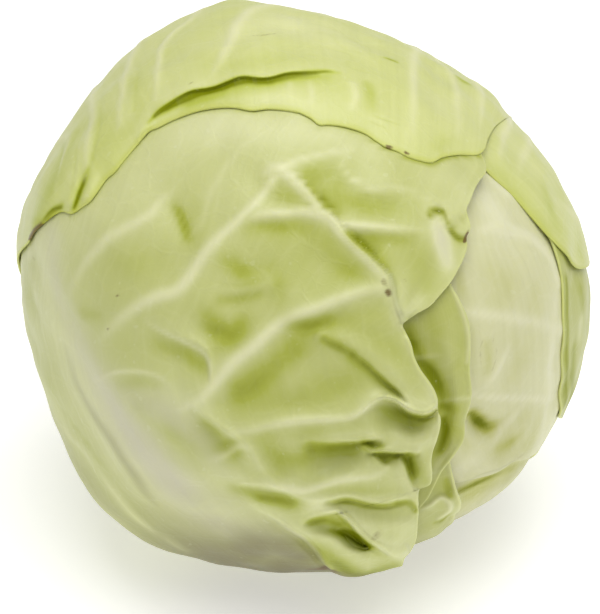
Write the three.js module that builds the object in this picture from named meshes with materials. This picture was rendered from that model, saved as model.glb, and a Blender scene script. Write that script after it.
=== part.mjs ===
import * as THREE from 'three';

// Green cabbage, a whole head standing on its cut stem.
// Millimetres, +Z up, origin on the floor under the middle of the head.
// The side that the photograph shows faces -Y and is seen from above at viewTilt.
// Places on that side are read in the photograph's pixels and laid on the head by seen().

// Driving sizes
const headWidth = 180;
const centreHeight = 85; // middle of the head above the floor
const headDepth = 84; // from the middle to the inner head's face, along the view
const bladeThick = 0.8; // a leaf away from its ribs
const foldThickening = 0.15; // share of a fold's height that its blade is thicker
const leafPitch = 1.36; // from one layer of leaves to the next
const outerLevel = 6; // the outermost layer
const lowestLeaf = 3.5; // the outermost layer's lowest point above the floor
const flattening = 24; // how sharply the head turns flat towards the floor
const stemRadius = 16;
const stemGap = 2.5; // between the stem and the bases of the leaves
const clearance = 0.4; // between pieces that nearly touch

// The photograph's frame
const viewTilt = THREE.MathUtils.degToRad(30);
const eyeDistance = 1200;
const headPixels = 572; // the width of the head in the photograph
const middlePixel = [304, 288];
const mmPerPixel = headWidth / headPixels;

const headCentre = new THREE.Vector3(0, 0, centreHeight);
const across = new THREE.Vector3(1, 0, 0);
const upward = new THREE.Vector3(0, Math.sin(viewTilt), Math.cos(viewTilt));
const towards = new THREE.Vector3(0, -Math.cos(viewTilt), Math.sin(viewTilt));

// Outline of the inner head as the photograph frames it, every 15 degrees from the right, anticlockwise
const rimRadii = [
  85.9, 82.6, 79.9, 77.2, 76.2, 76.5, 79.5, 84.4, 84.8, 83.2, 82.3, 84.8,
  83.3, 81.7, 83.6, 86.2, 86.7, 85.0, 84.6, 85.4, 87.2, 88.8, 88.1, 86.6,
];

function rimRadius(angle) {
  const count = rimRadii.length;
  const place = THREE.MathUtils.euclideanModulo(angle / (2 * Math.PI), 1) * count;
  const whole = Math.floor(place);
  const part = place - whole;
  const at = (step) => rimRadii[(whole + step + count) % count];
  const slope = (at(1) - at(-1)) / 2;
  const nextSlope = (at(2) - at(0)) / 2;
  const rise = at(1) - at(0);
  return at(0) + part * (slope + part * (3 * rise - 2 * slope - nextSlope
    + part * (slope + nextSlope - 2 * rise)));
}

// Directions from the middle of the head. seen() takes pixels of the photograph and the height
// of the surface above the inner head; around() takes compass angle and latitude in degrees.
function seen(pixels, height) {
  return pixels.map(([column, row]) => {
    const x = (column - middlePixel[0]) * mmPerPixel;
    const y = (middlePixel[1] - row) * mmPerPixel;
    const rim = rimRadius(Math.atan2(y, x)) + height;
    const depth = headDepth + height;
    let nearer = 0;
    for (let pass = 0; pass < 6; pass += 1) {
      const reach = Math.min(Math.hypot(x, y) * (1 - nearer / eyeDistance) / rim, 1);
      nearer = depth * Math.sqrt(1 - reach * reach);
    }
    const shrink = 1 - nearer / eyeDistance;
    return new THREE.Vector3()
      .addScaledVector(across, x * shrink)
      .addScaledVector(upward, y * shrink)
      .addScaledVector(towards, nearer)
      .normalize();
  });
}

function around(places) {
  return places.map(([compass, latitude]) => {
    const turn = THREE.MathUtils.degToRad(compass);
    const rise = THREE.MathUtils.degToRad(latitude);
    return new THREE.Vector3(
      Math.cos(rise) * Math.cos(turn), Math.cos(rise) * Math.sin(turn), Math.sin(rise));
  });
}

// A smooth line over the head through a few directions
function lineOver(directions, steps = 4) {
  const curve = new THREE.CatmullRomCurve3(directions, false, 'centripetal');
  return curve.getPoints((directions.length - 1) * steps).map((point) => point.normalize());
}

// How far a direction lies from a line, on which side and how far along
function nearestOn(line, direction) {
  let best = { distance: Infinity, along: 0, side: 1 };
  for (let k = 0; k + 1 < line.length; k += 1) {
    const step = line[k + 1].clone().sub(line[k]);
    const offset = direction.clone().sub(line[k]);
    const part = THREE.MathUtils.clamp(offset.dot(step) / step.lengthSq(), 0, 1);
    const distance = offset.addScaledVector(step, -part).length() * headDepth;
    if (distance < best.distance) {
      const side = Math.sign(line[k].clone().cross(line[k + 1]).dot(direction)) || 1;
      best = { distance, along: (k + part) / (line.length - 1), side };
    }
  }
  return best;
}

function heightAlong(heights, along) {
  const place = Math.min(along * (heights.length - 1), heights.length - 1.000001);
  const whole = Math.floor(place);
  return THREE.MathUtils.lerp(heights[whole], heights[whole + 1], place - whole);
}

// A fold is a line, its heights from end to end, and the widths of its left and right slopes
function foldHeight(fold, direction, spread = 1) {
  const { distance, along, side } = nearestOn(fold.line, direction);
  const width = (side > 0 ? fold.left : fold.right) * spread;
  return heightAlong(fold.heights, along) * Math.exp(-((distance / width) ** 2));
}

function sumOf(folds = [], direction) {
  return folds.reduce((sum, line) => sum + foldHeight(line, direction), 0);
}

function fold(directions, heights, left, right = left) {
  return { line: lineOver(directions), heights, left, right };
}

// Dents in one layer, which the layers under it follow more widely
const ruffleTop = 10; // the ruffled leaf's surface above the inner head
const dentSpread = 0.3; // how much wider a dent is for each millimetre further in
const dents = [
  { from: 2.6, ...fold(seen([[466, 417], [482, 423], [497, 419]], 3), [-0.6, -1.8, -0.6], 5.5) },
  { from: 6.5, ...fold(seen([[362, 443], [376, 454], [389, 470]], ruffleTop), [-1.5, -4, -2.5], 4) },
  { from: 6.5, ...fold(seen([[396, 455], [411, 466], [424, 487]], ruffleTop), [-2, -5, -4], 4.5) },
  { from: 6.5, ...fold(seen([[308, 521], [332, 521], [354, 538], [380, 557]], ruffleTop), [-1, -3, -5, -4], 4.5) },
  { from: 3.9, ...fold(seen([[428, 520], [441, 523], [450, 520]], 4), [-1, -1.5, -1], 3.5) },
];

// Gentle unevenness that every layer shares
const lumps = [
  { towards: around([[200, 20]])[0], turns: 1.9, height: 0.9 },
  { towards: around([[320, 50]])[0], turns: 2.6, height: 0.6 },
  { towards: around([[80, -10]])[0], turns: 3.1, height: 0.6 },
];

function headRadius(direction, height) {
  const x = direction.dot(across);
  const y = direction.dot(upward);
  const rim = rimRadius(Math.atan2(y, x)) + height;
  const depth = headDepth + height;
  let radius = 1 / Math.hypot(Math.hypot(x, y) / rim, direction.dot(towards) / depth);
  lumps.forEach((lump) => {
    radius += lump.height * Math.sin(lump.turns * Math.PI * direction.dot(lump.towards));
  });
  dents.forEach((dent) => {
    radius += foldHeight(dent, direction, 1 + dentSpread * Math.max(dent.from - height, 0));
  });
  if (direction.z >= 0) return radius;
  const lowest = lowestLeaf + outerLevel * leafPitch - height;
  const flat = (centreHeight - lowest) / -direction.z;
  return (radius ** -flattening + flat ** -flattening) ** (-1 / flattening);
}

// Great-circle way from one direction to another
function between(from, to, part) {
  const angle = from.angleTo(to);
  if (angle < 1e-6) return from.clone();
  return from.clone().multiplyScalar(Math.sin((1 - part) * angle) / Math.sin(angle))
    .addScaledVector(to, Math.sin(part * angle) / Math.sin(angle));
}

// A leaf's outline and midrib, as smooth curves that are evenly run through
class LeafOutline {
  constructor({ base, left, midrib, right, tipLeft = [], tipRight = [] }) {
    const baseLatitude = -90 + THREE.MathUtils.radToDeg(
      Math.atan((stemRadius + stemGap) / (centreHeight - lowestLeaf)));
    this.baseRow = (compass) => around([[compass, baseLatitude]])[0];
    this.base = base;
    const curve = (points) => new THREE.CatmullRomCurve3(points, false, 'centripetal');
    this.midrib = curve([this.baseRow(base[1]), ...midrib]);
    const tip = midrib.at(-1);
    this.sides = [
      { compass: base[0], margin: curve([this.baseRow(base[0]), ...left]), far: curve([tip, ...tipLeft, left.at(-1)]) },
      { compass: base[2], margin: curve([this.baseRow(base[2]), ...right]), far: curve([tip, ...tipRight, right.at(-1)]) },
    ];
  }

  // u runs from -1 at the left margin to 1 at the right one, v from the base to the tip
  direction(u, v) {
    const side = this.sides[u < 0 ? 0 : 1];
    const out = Math.abs(u);
    const middle = this.midrib.getPointAt(v).normalize();
    const edge = side.margin.getPointAt(v).normalize();
    const farStraight = between(this.midrib.getPoint(1).normalize(), side.margin.getPoint(1).normalize(), out);
    const far = side.far.getPointAt(out).normalize().sub(farStraight);
    const nearStraight = between(this.baseRow(this.base[1]), this.baseRow(side.compass), out);
    const near = this.baseRow(THREE.MathUtils.lerp(this.base[1], side.compass, out)).sub(nearStraight);
    return between(middle, edge, out).addScaledVector(far, v).addScaledVector(near, 1 - v).normalize();
  }
}

// A closed thin shell over a grid of outer and inner points, split alike on both faces
function shell(outer, inner) {
  const rows = outer.length;
  const columns = outer[0].length;
  const positions = [...outer.flat(), ...inner.flat()].flatMap((point) => point.toArray());
  const outerAt = (row, column) => row * columns + column;
  const innerAt = (row, column) => rows * columns + row * columns + column;
  const index = [];
  const quad = (a, b, c, d) => index.push(a, b, c, a, c, d);
  for (let row = 0; row + 1 < rows; row += 1) {
    for (let column = 0; column + 1 < columns; column += 1) {
      quad(outerAt(row, column), outerAt(row, column + 1),
        outerAt(row + 1, column + 1), outerAt(row + 1, column));
      const corners = [innerAt(row, column), innerAt(row, column + 1),
        innerAt(row + 1, column + 1), innerAt(row + 1, column)];
      index.push(corners[0], corners[2], corners[1], corners[0], corners[3], corners[2]);
    }
  }
  const edge = [];
  for (let column = 0; column < columns; column += 1) edge.push([0, column]);
  for (let row = 1; row < rows; row += 1) edge.push([row, columns - 1]);
  for (let column = columns - 2; column >= 0; column -= 1) edge.push([rows - 1, column]);
  for (let row = rows - 2; row >= 0; row -= 1) edge.push([row, 0]);
  for (let k = 0; k + 1 < edge.length; k += 1) {
    const [here, next] = [edge[k], edge[k + 1]];
    quad(outerAt(...next), outerAt(...here), innerAt(...here), innerAt(...next));
  }
  const geometry = new THREE.BufferGeometry();
  geometry.setAttribute('position', new THREE.Float32BufferAttribute(positions, 3));
  geometry.setIndex(index);
  return geometry;
}

function surfacePoint(direction, radius) {
  return headCentre.clone().addScaledVector(direction, radius);
}

// Runs of grid lines, each as the share of the way where it ends and its number of steps
function gridLines(runs) {
  const lines = [0];
  let start = 0;
  runs.forEach(([end, steps]) => {
    for (let k = 1; k <= steps; k += 1) lines.push(start + (end - start) * k / steps);
    start = end;
  });
  return lines;
}

function leafGeometry(leaf) {
  const outline = new LeafOutline(leaf.outline);
  const height = leaf.level * leafPitch;
  const columns = [
    ...gridLines(leaf.leftColumns).slice(1).reverse().map((share) => -share),
    ...gridLines(leaf.rightColumns),
  ];
  const outer = [];
  const inner = [];
  gridLines(leaf.rows).forEach((v) => {
    const outerRow = [];
    const innerRow = [];
    columns.forEach((u) => {
      const direction = outline.direction(u, v);
      const relief = Math.max(sumOf(leaf.folds, direction), 0);
      const pressed = sumOf(leaf.presses, direction);
      outerRow.push(surfacePoint(direction, headRadius(direction, height) + relief + pressed));
      innerRow.push(surfacePoint(direction,
        headRadius(direction, height - bladeThick) + relief * (1 - foldThickening) + pressed));
    });
    outer.push(outerRow);
    inner.push(innerRow);
  });
  return shell(outer, inner);
}

// The leaves, from the innermost out
const level = (number) => number * leafPitch;

const leaves = {
  leaf_lower_right: {
    level: 1, rows: [[1, 18]], leftColumns: [[1, 8]], rightColumns: [[1, 8]], colour: 0xd2d493,
    outline: {
      base: [-75, -45, -5],
      left: [...around([[-72, -60]]), ...seen([[440, 530], [446, 505], [446, 480], [436, 450]], level(1))],
      midrib: [...around([[-42, -55]]), ...seen([[500, 480], [505, 440], [500, 400]], level(1))],
      right: [...around([[-12, -55], [-12, -30], [-14, -10]]), ...seen([[556, 350]], level(1))],
    },
    folds: [],
  },
  leaf_right: {
    level: 2, rows: [[1, 20]], leftColumns: [[1, 11]], rightColumns: [[1, 8]], colour: 0xe1e1be,
    outline: {
      base: [0, 35, 70],
      left: [...around([[-8, -50]]), ...seen([[543, 453], [520, 460], [500, 467], [483, 473], [466, 481],
        [452, 483], [436, 470], [428, 430], [425, 370], [425, 300], [440, 220], [448, 172]], level(2))],
      midrib: [...around([[18, -50], [6, -25], [4, 0], [6, 20]]), ...seen([[530, 170], [505, 135]], level(2))],
      right: around([[60, -40], [50, -10], [45, 20], [35, 48]]),
    },
    folds: [],
  },
  leaf_lower_middle: {
    level: 3, rows: [[1, 16]], leftColumns: [[1, 4]], rightColumns: [[1, 4]], colour: 0xc4cc7a,
    outline: {
      base: [-84, -72, -60],
      left: [...around([[-84, -65]]), ...seen([[378, 530], [386, 500], [398, 470]], level(3))],
      midrib: [...around([[-72, -64]]), ...seen([[420, 530], [424, 495], [425, 462]], level(3))],
      right: [...around([[-60, -63]]), ...seen([[457, 528], [460, 505], [455, 487], [449, 460]], level(3))],
    },
    folds: [
      fold(seen([[452, 465], [456, 490], [456, 520]], level(3)), [0.6, 1.2, 0.8], 2.5),
      fold(seen([[425, 505], [432, 525], [440, 538]], level(3)), [0.5, 1.5, 0.5], 3),
    ],
  },
  leaf_middle: {
    level: 4, rows: [[1, 24]], leftColumns: [[1, 5]], rightColumns: [[1, 5]], colour: 0xa9b94c,
    outline: {
      base: [-104, -93, -84],
      left: [...around([[-104, -60]]), ...seen([[340, 540], [350, 470], [360, 390], [372, 310], [385, 240]], level(4))],
      midrib: [...around([[-93, -62]]), ...seen([[385, 535], [402, 465], [415, 390], [412, 310], [415, 235]], level(4))],
      right: [...around([[-85, -66]]), ...seen([[412, 522], [424, 503], [432, 492], [441, 473], [452, 458], [461, 438],
        [468, 411], [471, 395], [467, 364], [469, 344], [460, 313], [453, 291], [446, 272], [440, 235]], level(4))],
    },
    folds: [
      fold(seen([[444, 300], [455, 350], [457, 400], [443, 450], [426, 492]], level(5)), [0.8, 1.8, 2.5, 2, 1], 3.5, 4.5),
      fold(seen([[415, 330], [425, 350], [440, 358]], level(5)), [0.4, 1, 0.4], 2.5),
    ],
  },
  leaf_far_right_under: {
    level: 3, rows: [[1, 22]], leftColumns: [[1, 8]], rightColumns: [[1, 5]], colour: 0xc3cc74,
    outline: {
      base: [14, 42, 66],
      left: [...around([[6, -58], [-4, -42], [-11, -31]]), ...seen([[561, 417], [562, 380], [564, 352], [564, 327],
        [564, 295], [561, 269], [550, 236], [530, 205]], level(3))],
      midrib: around([[34, -50], [24, -25], [20, 0], [17, 25], [15, 42]]),
      right: around([[58, -40], [52, -10], [48, 20], [35, 45]]),
    },
    folds: [
      fold(seen([[564, 300], [563, 350], [561, 415]], level(4)), [0.4, 1, 0.8], 3),
      fold([...seen([[583, 300], [583, 345]], level(3)), ...around([[-8, -22]])], [0.5, 1.5, 0.5], 4),
    ],
  },
  leaf_far_right: {
    level: 4, rows: [[1, 20]], leftColumns: [[1, 9]], rightColumns: [[1, 7]], colour: 0xd3d994,
    outline: {
      base: [20, 45, 78],
      left: [...around([[20, -50], [14, -20], [6, -4]]), ...seen([[586, 267], [579, 268], [568, 255], [558, 243],
        [545, 226], [520, 193], [500, 175], [480, 158], [470, 146]], level(4))],
      midrib: around([[42, -45], [38, -15], [33, 15], [30, 38], [28, 55]]),
      right: around([[84, -40], [86, -10], [84, 20], [75, 45], [60, 62]]),
      tipLeft: seen([[500, 90]], level(4)),
      tipRight: around([[45, 62]]),
    },
    folds: [
      fold(seen([[487, 163], [507, 183], [534, 214], [557, 243], [580, 268]], level(4)), [0.2, 0.6, 1.0, 0.9, 0.5], 5),
      fold(around([[44, -70], [42, -45], [38, -15], [33, 15]]), [1.6, 1.4, 0.9, 0.3], 4),
    ],
  },
  leaf_front_left: {
    level: 5, rows: [[0.15, 4], [0.5, 23], [1, 17]], leftColumns: [[1, 8]], rightColumns: [[0.55, 11], [1, 15]], colour: 0xbcc673,
    outline: {
      base: [-200, -135, -94],
      left: around([[-205, -45], [-210, -15], [-212, 10], [-208, 32], [-205, 50]]),
      midrib: [...around([[-130, -66]]), ...seen([[205, 552], [150, 507], [100, 442], [70, 375], [62, 305],
        [72, 235], [98, 170], [120, 140]], level(5) + 1)],
      right: [...around([[-92, -68]]), ...seen([[352, 575], [384, 566], [404, 549], [416, 525], [418, 500], [413, 480],
        [424, 461], [436, 443], [440, 422], [437, 398], [422, 368], [406, 338], [412, 317],
        [437, 298], [455, 275], [466, 246], [466, 216], [477, 187], [486, 171]], ruffleTop - 1),
        ...seen([[479, 150]], level(5))],
      tipLeft: seen([[150, 105], [128, 95]], level(5)),
      tipRight: seen([[170, 100], [260, 88], [350, 105], [430, 130]], level(5)),
    },
    folds: [
      // the midrib along the lower left, and the ribs that fan out of it
      fold([...around([[-135, -76], [-130, -66]]), ...seen([[205, 552], [150, 507], [100, 442], [70, 375],
        [62, 305], [72, 235]], level(6))], [2, 1.8, 1.7, 1.5, 1.3, 1.1, 0.8, 0.4], 6.5),
      fold(seen([[108, 333], [134, 310], [185, 282], [219, 241], [271, 183]], level(6)), [0.3, 0.8, 0.8, 0.7, 0.3], 3),
      fold(seen([[200, 395], [242, 359], [289, 318], [340, 299], [385, 288]], ruffleTop), [0.2, 0.8, 1, 0.8, 0.3], 3),
      // the long fold from under the top leaf down to the margin
      fold(seen([[276, 168], [312, 192], [344, 228], [379, 264], [393, 288], [400, 318]], ruffleTop),
        [0.3, 2.4, 3.6, 4.6, 4.8, 3.5], 5, 20),
      // the pleats that end in lobes at the margin, from the top down
      fold(seen([[372, 300], [392, 328], [410, 358], [428, 394]], ruffleTop), [2, 3.5, 4.2, 5], 8, 7),
      fold(seen([[262, 424], [315, 420], [347, 416], [368, 409], [388, 402], [412, 405], [434, 402]], ruffleTop),
        [0.3, 1, 1.4, 2.2, 3, 3.2, 2.6], 6, 3.6),
      fold(seen([[311, 436], [345, 436], [376, 434], [402, 441], [434, 438]], ruffleTop), [0.5, 2, 2.8, 4.4, 4.6], 5, 3.6),
      fold(seen([[255, 476], [287, 487], [313, 484], [341, 479], [385, 470], [402, 464]], ruffleTop),
        [0.5, 2, 3.4, 4.4, 5.2, 4], 6, 5),
      fold(seen([[385, 471], [403, 480], [415, 498]], ruffleTop), [1.5, 4, 4], 4),
      fold(seen([[200, 417], [225, 431], [250, 450], [271, 479], [299, 494], [333, 497], [372, 500]], ruffleTop),
        [0.2, 1.4, 2.2, 2.6, 2.4, 1.6, 0.8], 7, 4),
      fold(seen([[340, 508], [357, 529], [374, 540], [394, 543], [410, 538]], ruffleTop), [1.5, 3.6, 4.4, 4.4, 4], 8, 3.6),
      fold(seen([[300, 533], [325, 548], [350, 562], [382, 562], [399, 554]], ruffleTop), [0.8, 2.4, 3.4, 3.2, 2.5], 4, 5),
      // the small folded notch in the upper part of the margin
      fold(seen([[428, 214], [437, 211], [446, 216], [452, 230], [462, 238]], ruffleTop), [0.5, 1.6, 1.3, 1.8, 1.4], 3.4),
      // the margin above it stands off the right leaf
      fold(seen([[486, 165], [477, 190], [464, 215], [465, 250], [436, 299]], ruffleTop), [0.8, 1.4, 1.6, 1.4, 1.2], 4),
    ],
    // the left margin lies close to the inner head, under the top leaf
    presses: [
      fold(around([[-200, -60], [-210, -15], [-212, 10], [-208, 32], [-205, 50]]), [-0.6, -1, -1, -1, -0.8], 14),
    ],
  },
  leaf_top: {
    level: 6, rows: [[0.72, 12], [1, 14]], leftColumns: [[1, 15]], rightColumns: [[1, 13]], colour: 0xcad383,
    outline: {
      base: [66, 98, 148],
      right: [...around([[152, -45], [164, -20], [173, -2]]), ...seen([[26, 243]], level(6))],
      midrib: [...around([[97, -50], [95, -15], [93, 20], [91, 48]]), ...seen([[290, 20], [296, 70], [300, 113]], level(6))],
      left: [...around([[62, -45], [56, -15], [40, 12], [22, 33]]), ...seen([[502, 117]], level(6))],
      tipRight: seen([[283, 110], [261, 106], [232, 106], [200, 110], [170, 115], [145, 130], [111, 180], [102, 189],
        [97, 198], [87, 207], [70, 213], [55, 208], [40, 224]], level(6) + 1),
      tipLeft: seen([[322, 125], [353, 128], [372, 134], [389, 147], [406, 154], [419, 162], [432, 162], [442, 157],
        [461, 154], [481, 153], [489, 140]], level(6) + 1),
    },
    folds: [
      // the pleat that laps over the front of the leaf
      fold(seen([[140, 140], [172, 106], [200, 90], [238, 76], [289, 71], [328, 75], [350, 79]], level(6) + 3),
        [0, 2, 3.4, 4, 3.8, 2.2, 0], 9, 3.6),
      // the front margin stands a little off the leaves under it
      fold(seen([[45, 221], [70, 213], [102, 189], [145, 130], [170, 115], [232, 106], [283, 110], [322, 125],
        [372, 134], [419, 162], [461, 154], [483, 150]], level(6) + 1),
        [0.6, 1, 0.8, 0.6, 0.9, 0.6, 1, 0.8, 1.1, 0.9, 0.8, 0.7], 4),
      fold(around([[98, -77], [97, -50], [95, -15], [93, 20], [91, 48], [92, 62]]), [2.2, 2, 1.7, 1.3, 0.8, 0.3], 5.5),
    ],
    // the right margin lies down on the far right leaf
    presses: [
      fold([...seen([[486, 150], [500, 118]], level(6)), ...around([[22, 33], [40, 12], [56, -15], [62, -45]])],
        [-0.7, -1.3, -1.3, -1.3, -1.2, -1], 9, 14),
    ],
  },
};

function leafMesh(name, leaf) {
  const material = new THREE.MeshStandardMaterial({ color: leaf.colour, roughness: 0.5, metalness: 0 });
  const mesh = new THREE.Mesh(leafGeometry(leaf), material);
  mesh.name = name;
  return mesh;
}

// The tight inner leaves, which the outer ones cover all over, as one dense body
function innerHeadMesh() {
  const rings = 18;
  const turns = 28;
  const points = [];
  for (let ring = 1; ring < rings; ring += 1) {
    const latitude = -90 + 180 * ring / rings;
    for (let turn = 0; turn < turns; turn += 1) {
      const direction = around([[360 * turn / turns, latitude]])[0];
      points.push(surfacePoint(direction, headRadius(direction, -clearance)));
    }
  }
  const bottom = points.push(surfacePoint(new THREE.Vector3(0, 0, -1), headRadius(new THREE.Vector3(0, 0, -1), 0))) - 1;
  const top = points.push(surfacePoint(new THREE.Vector3(0, 0, 1), headRadius(new THREE.Vector3(0, 0, 1), 0))) - 1;
  const at = (ring, turn) => (ring - 1) * turns + (turn % turns);
  const index = [];
  for (let turn = 0; turn < turns; turn += 1) {
    index.push(bottom, at(1, turn + 1), at(1, turn));
    index.push(top, at(rings - 1, turn), at(rings - 1, turn + 1));
    for (let ring = 1; ring + 1 < rings; ring += 1) {
      index.push(at(ring, turn), at(ring, turn + 1), at(ring + 1, turn + 1));
      index.push(at(ring, turn), at(ring + 1, turn + 1), at(ring + 1, turn));
    }
  }
  const geometry = new THREE.BufferGeometry();
  geometry.setAttribute('position',
    new THREE.Float32BufferAttribute(points.flatMap((point) => point.toArray()), 3));
  geometry.setIndex(index);
  const mesh = new THREE.Mesh(geometry,
    new THREE.MeshStandardMaterial({ color: 0xe6e6bc, roughness: 0.5, metalness: 0 }));
  mesh.name = 'inner_head';
  return mesh;
}

// The stem, cut flat where the head stands on it
function stemMesh() {
  const sides = 28;
  const underHead = headRadius(new THREE.Vector3(0, 0, -1), 0);
  const top = centreHeight - underHead - clearance;
  const profile = [[0, 0], [0.95, 0], [1, 0.6], [1, top], [0, top]];
  const geometry = new THREE.LatheGeometry(
    profile.map(([share, height]) => new THREE.Vector2(share * stemRadius, height)), sides);
  geometry.rotateX(Math.PI / 2);
  const mesh = new THREE.Mesh(geometry,
    new THREE.MeshStandardMaterial({ color: 0xd9d3ae, roughness: 0.6, metalness: 0 }));
  mesh.name = 'stem';
  return mesh;
}

const cabbage = new THREE.Group();
cabbage.add(stemMesh(), innerHeadMesh());
Object.entries(leaves).forEach(([name, leaf]) => cabbage.add(leafMesh(name, leaf)));

export default cabbage;
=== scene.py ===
import bpy
import numpy as np
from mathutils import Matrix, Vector


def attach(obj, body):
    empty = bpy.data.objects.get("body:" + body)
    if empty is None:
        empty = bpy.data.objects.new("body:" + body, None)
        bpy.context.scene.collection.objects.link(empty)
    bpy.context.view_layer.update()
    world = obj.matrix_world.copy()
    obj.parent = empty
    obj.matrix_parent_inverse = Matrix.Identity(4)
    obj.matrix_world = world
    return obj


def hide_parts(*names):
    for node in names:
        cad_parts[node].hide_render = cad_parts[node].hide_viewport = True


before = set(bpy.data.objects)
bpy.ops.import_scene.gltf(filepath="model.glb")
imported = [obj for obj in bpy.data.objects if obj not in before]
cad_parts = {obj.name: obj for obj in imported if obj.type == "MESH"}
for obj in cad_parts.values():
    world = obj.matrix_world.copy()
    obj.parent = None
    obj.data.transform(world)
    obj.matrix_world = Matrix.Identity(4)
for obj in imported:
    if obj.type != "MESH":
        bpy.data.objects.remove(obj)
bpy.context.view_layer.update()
mm = 0.001

# The head that every leaf lies on. Lengths are millimetres here and metres in the meshes.
head = {
    "width": 180.0,
    "widthPixels": 572.0,  # the same width in the photograph
    "middlePixel": (304.0, 288.0),
    "centre": np.array([0.0, 0.0, 85.0]),
    "depth": 84.0,
    "pitch": 1.36,  # from one layer of leaves to the next
    "outerLevel": 6,
    "lowestLeaf": 3.5,
    "flattening": 24.0,  # how sharply the head turns flat towards the floor
    "baseRadius": 18.5,  # where the leaves begin, round the stem
    # outline of the inner head as the photograph frames it, every 15 degrees anticlockwise from the right
    "rim": [
        84.7, 81.7, 79.2, 76.6, 75.6, 76.0, 78.3, 83.4, 83.7, 83.2, 83.4, 84.9,
        82.6, 80.7, 82.1, 85.8, 84.8, 81.8, 82.8, 84.6, 85.2, 87.2, 85.6, 85.3,
    ],
}

view = {
    "tilt": np.radians(30.0),
    "eyeDistance": 1200.0,
    "frameSize": (600, 614),
    "sensor": 36.0,
    "depthRounds": 6,  # in which onSmoothHead() settles how near a pixel's place is
    # how seen() closes in on a pixel: rounds, share of the way in each, longest move in pixels
    "rounds": 5,
    "share": 0.7,
    "longestMove": 6.0,
}

across = np.array([1.0, 0.0, 0.0])
upward = np.array([0.0, np.sin(view["tilt"]), np.cos(view["tilt"])])
towards = np.array([0.0, -np.cos(view["tilt"]), np.sin(view["tilt"])])
eye = head["centre"] + towards * view["eyeDistance"]
pixel = head["width"] / head["widthPixels"]


def normalised(vectors):
    return vectors / np.linalg.norm(vectors, axis=-1)[..., None]


def joined(*runs):
    return np.concatenate(runs)


def eased(value, low, high):
    share = np.clip((value - low) / (high - low), 0, 1)
    return share * share * (3 - 2 * share)


def rimRadius(angle):
    rim = np.array(head["rim"])
    place = np.mod(angle / (2 * np.pi), 1.0) * len(rim)
    whole = np.floor(place).astype(int)
    part = place - whole
    before, here, after, later = (rim[(whole + shift) % len(rim)] for shift in (-1, 0, 1, 2))
    slope = (after - before) / 2
    nextSlope = (later - here) / 2
    rise = after - here
    twist = slope + nextSlope - 2 * rise
    return here + part * (slope + part * (3 * rise - 2 * slope - nextSlope + part * twist))


# Directions from the middle of the head, from pixels of the photograph at a height above the inner head:
# onSmoothHead() leaves lumps and dents out, seen() goes on until the real surface lies at the pixel
def onSmoothHead(pixels, height):
    places = np.array(pixels, float)
    x = (places[:, 0] - head["middlePixel"][0]) * pixel
    y = (head["middlePixel"][1] - places[:, 1]) * pixel
    rim = rimRadius(np.arctan2(y, x)) + height
    depth = head["depth"] + height
    nearer = np.zeros(len(places))
    for _ in range(view["depthRounds"]):
        reach = np.minimum(np.hypot(x, y) * (1 - nearer / view["eyeDistance"]) / rim, 1.0)
        nearer = depth * np.sqrt(1 - reach**2)
    shrink = (1 - nearer / view["eyeDistance"])[:, None]
    sideways = x[:, None] * shrink * across
    higher = y[:, None] * shrink * upward
    return normalised(sideways + higher + nearer[:, None] * towards)


def seen(pixels, height):
    wanted = np.array(pixels, float)
    asked = wanted.copy()
    for _ in range(view["rounds"]):
        directions = onSmoothHead(asked, height)
        found = pixelsOf(head["centre"] + directions * headRadius(directions, height)[:, None])
        asked += view["share"] * np.clip(wanted - found, -view["longestMove"], view["longestMove"])
    return onSmoothHead(asked, height)


# Directions from compass angle and latitude in degrees
def around(places):
    turn, rise = np.radians(np.array(places, float)).T
    return np.stack([np.cos(rise) * np.cos(turn), np.cos(rise) * np.sin(turn), np.sin(rise)], -1)


def pixelsOf(points):
    offset = points - head["centre"]
    shrink = (1 - offset @ towards / view["eyeDistance"]) * pixel
    return np.stack([
        head["middlePixel"][0] + offset @ across / shrink,
        head["middlePixel"][1] - offset @ upward / shrink,
    ], -1)


# Centripetal curve through points of any dimension
def curveThrough(points, steps):
    points = np.asarray(points, float)
    ends = joined([2 * points[0] - points[1]], points, [2 * points[-1] - points[-2]])
    gaps = np.maximum(np.linalg.norm(np.diff(ends, axis=0), axis=1), 1e-9) ** 0.5
    shares = np.arange(steps)[:, None] / steps
    runs = []
    for k in range(len(points) - 1):
        p0, p1, p2, p3 = ends[k : k + 4]
        g0, g1, g2 = gaps[k : k + 3]
        leave = g1 * ((p1 - p0) / g0 - (p2 - p0) / (g0 + g1) + (p2 - p1) / g1)
        arrive = g1 * ((p2 - p1) / g1 - (p3 - p1) / (g1 + g2) + (p3 - p2) / g2)
        turn = 3 * (p2 - p1) - 2 * leave - arrive
        twist = 2 * (p1 - p2) + leave + arrive
        runs.append(p1 + shares * (leave + shares * (turn + shares * twist)))
    return np.concatenate(runs + [points[-1:]])


def evenlyAlong(curve, shares):
    lengths = joined([0.0], np.cumsum(np.linalg.norm(np.diff(curve, axis=0), axis=1)))
    at = np.asarray(shares) * lengths[-1]
    return normalised(np.stack([np.interp(at, lengths, curve[:, k]) for k in range(3)], -1))


feltWidths = 2.8  # a line's effect is nothing beyond this many of its widths


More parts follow.
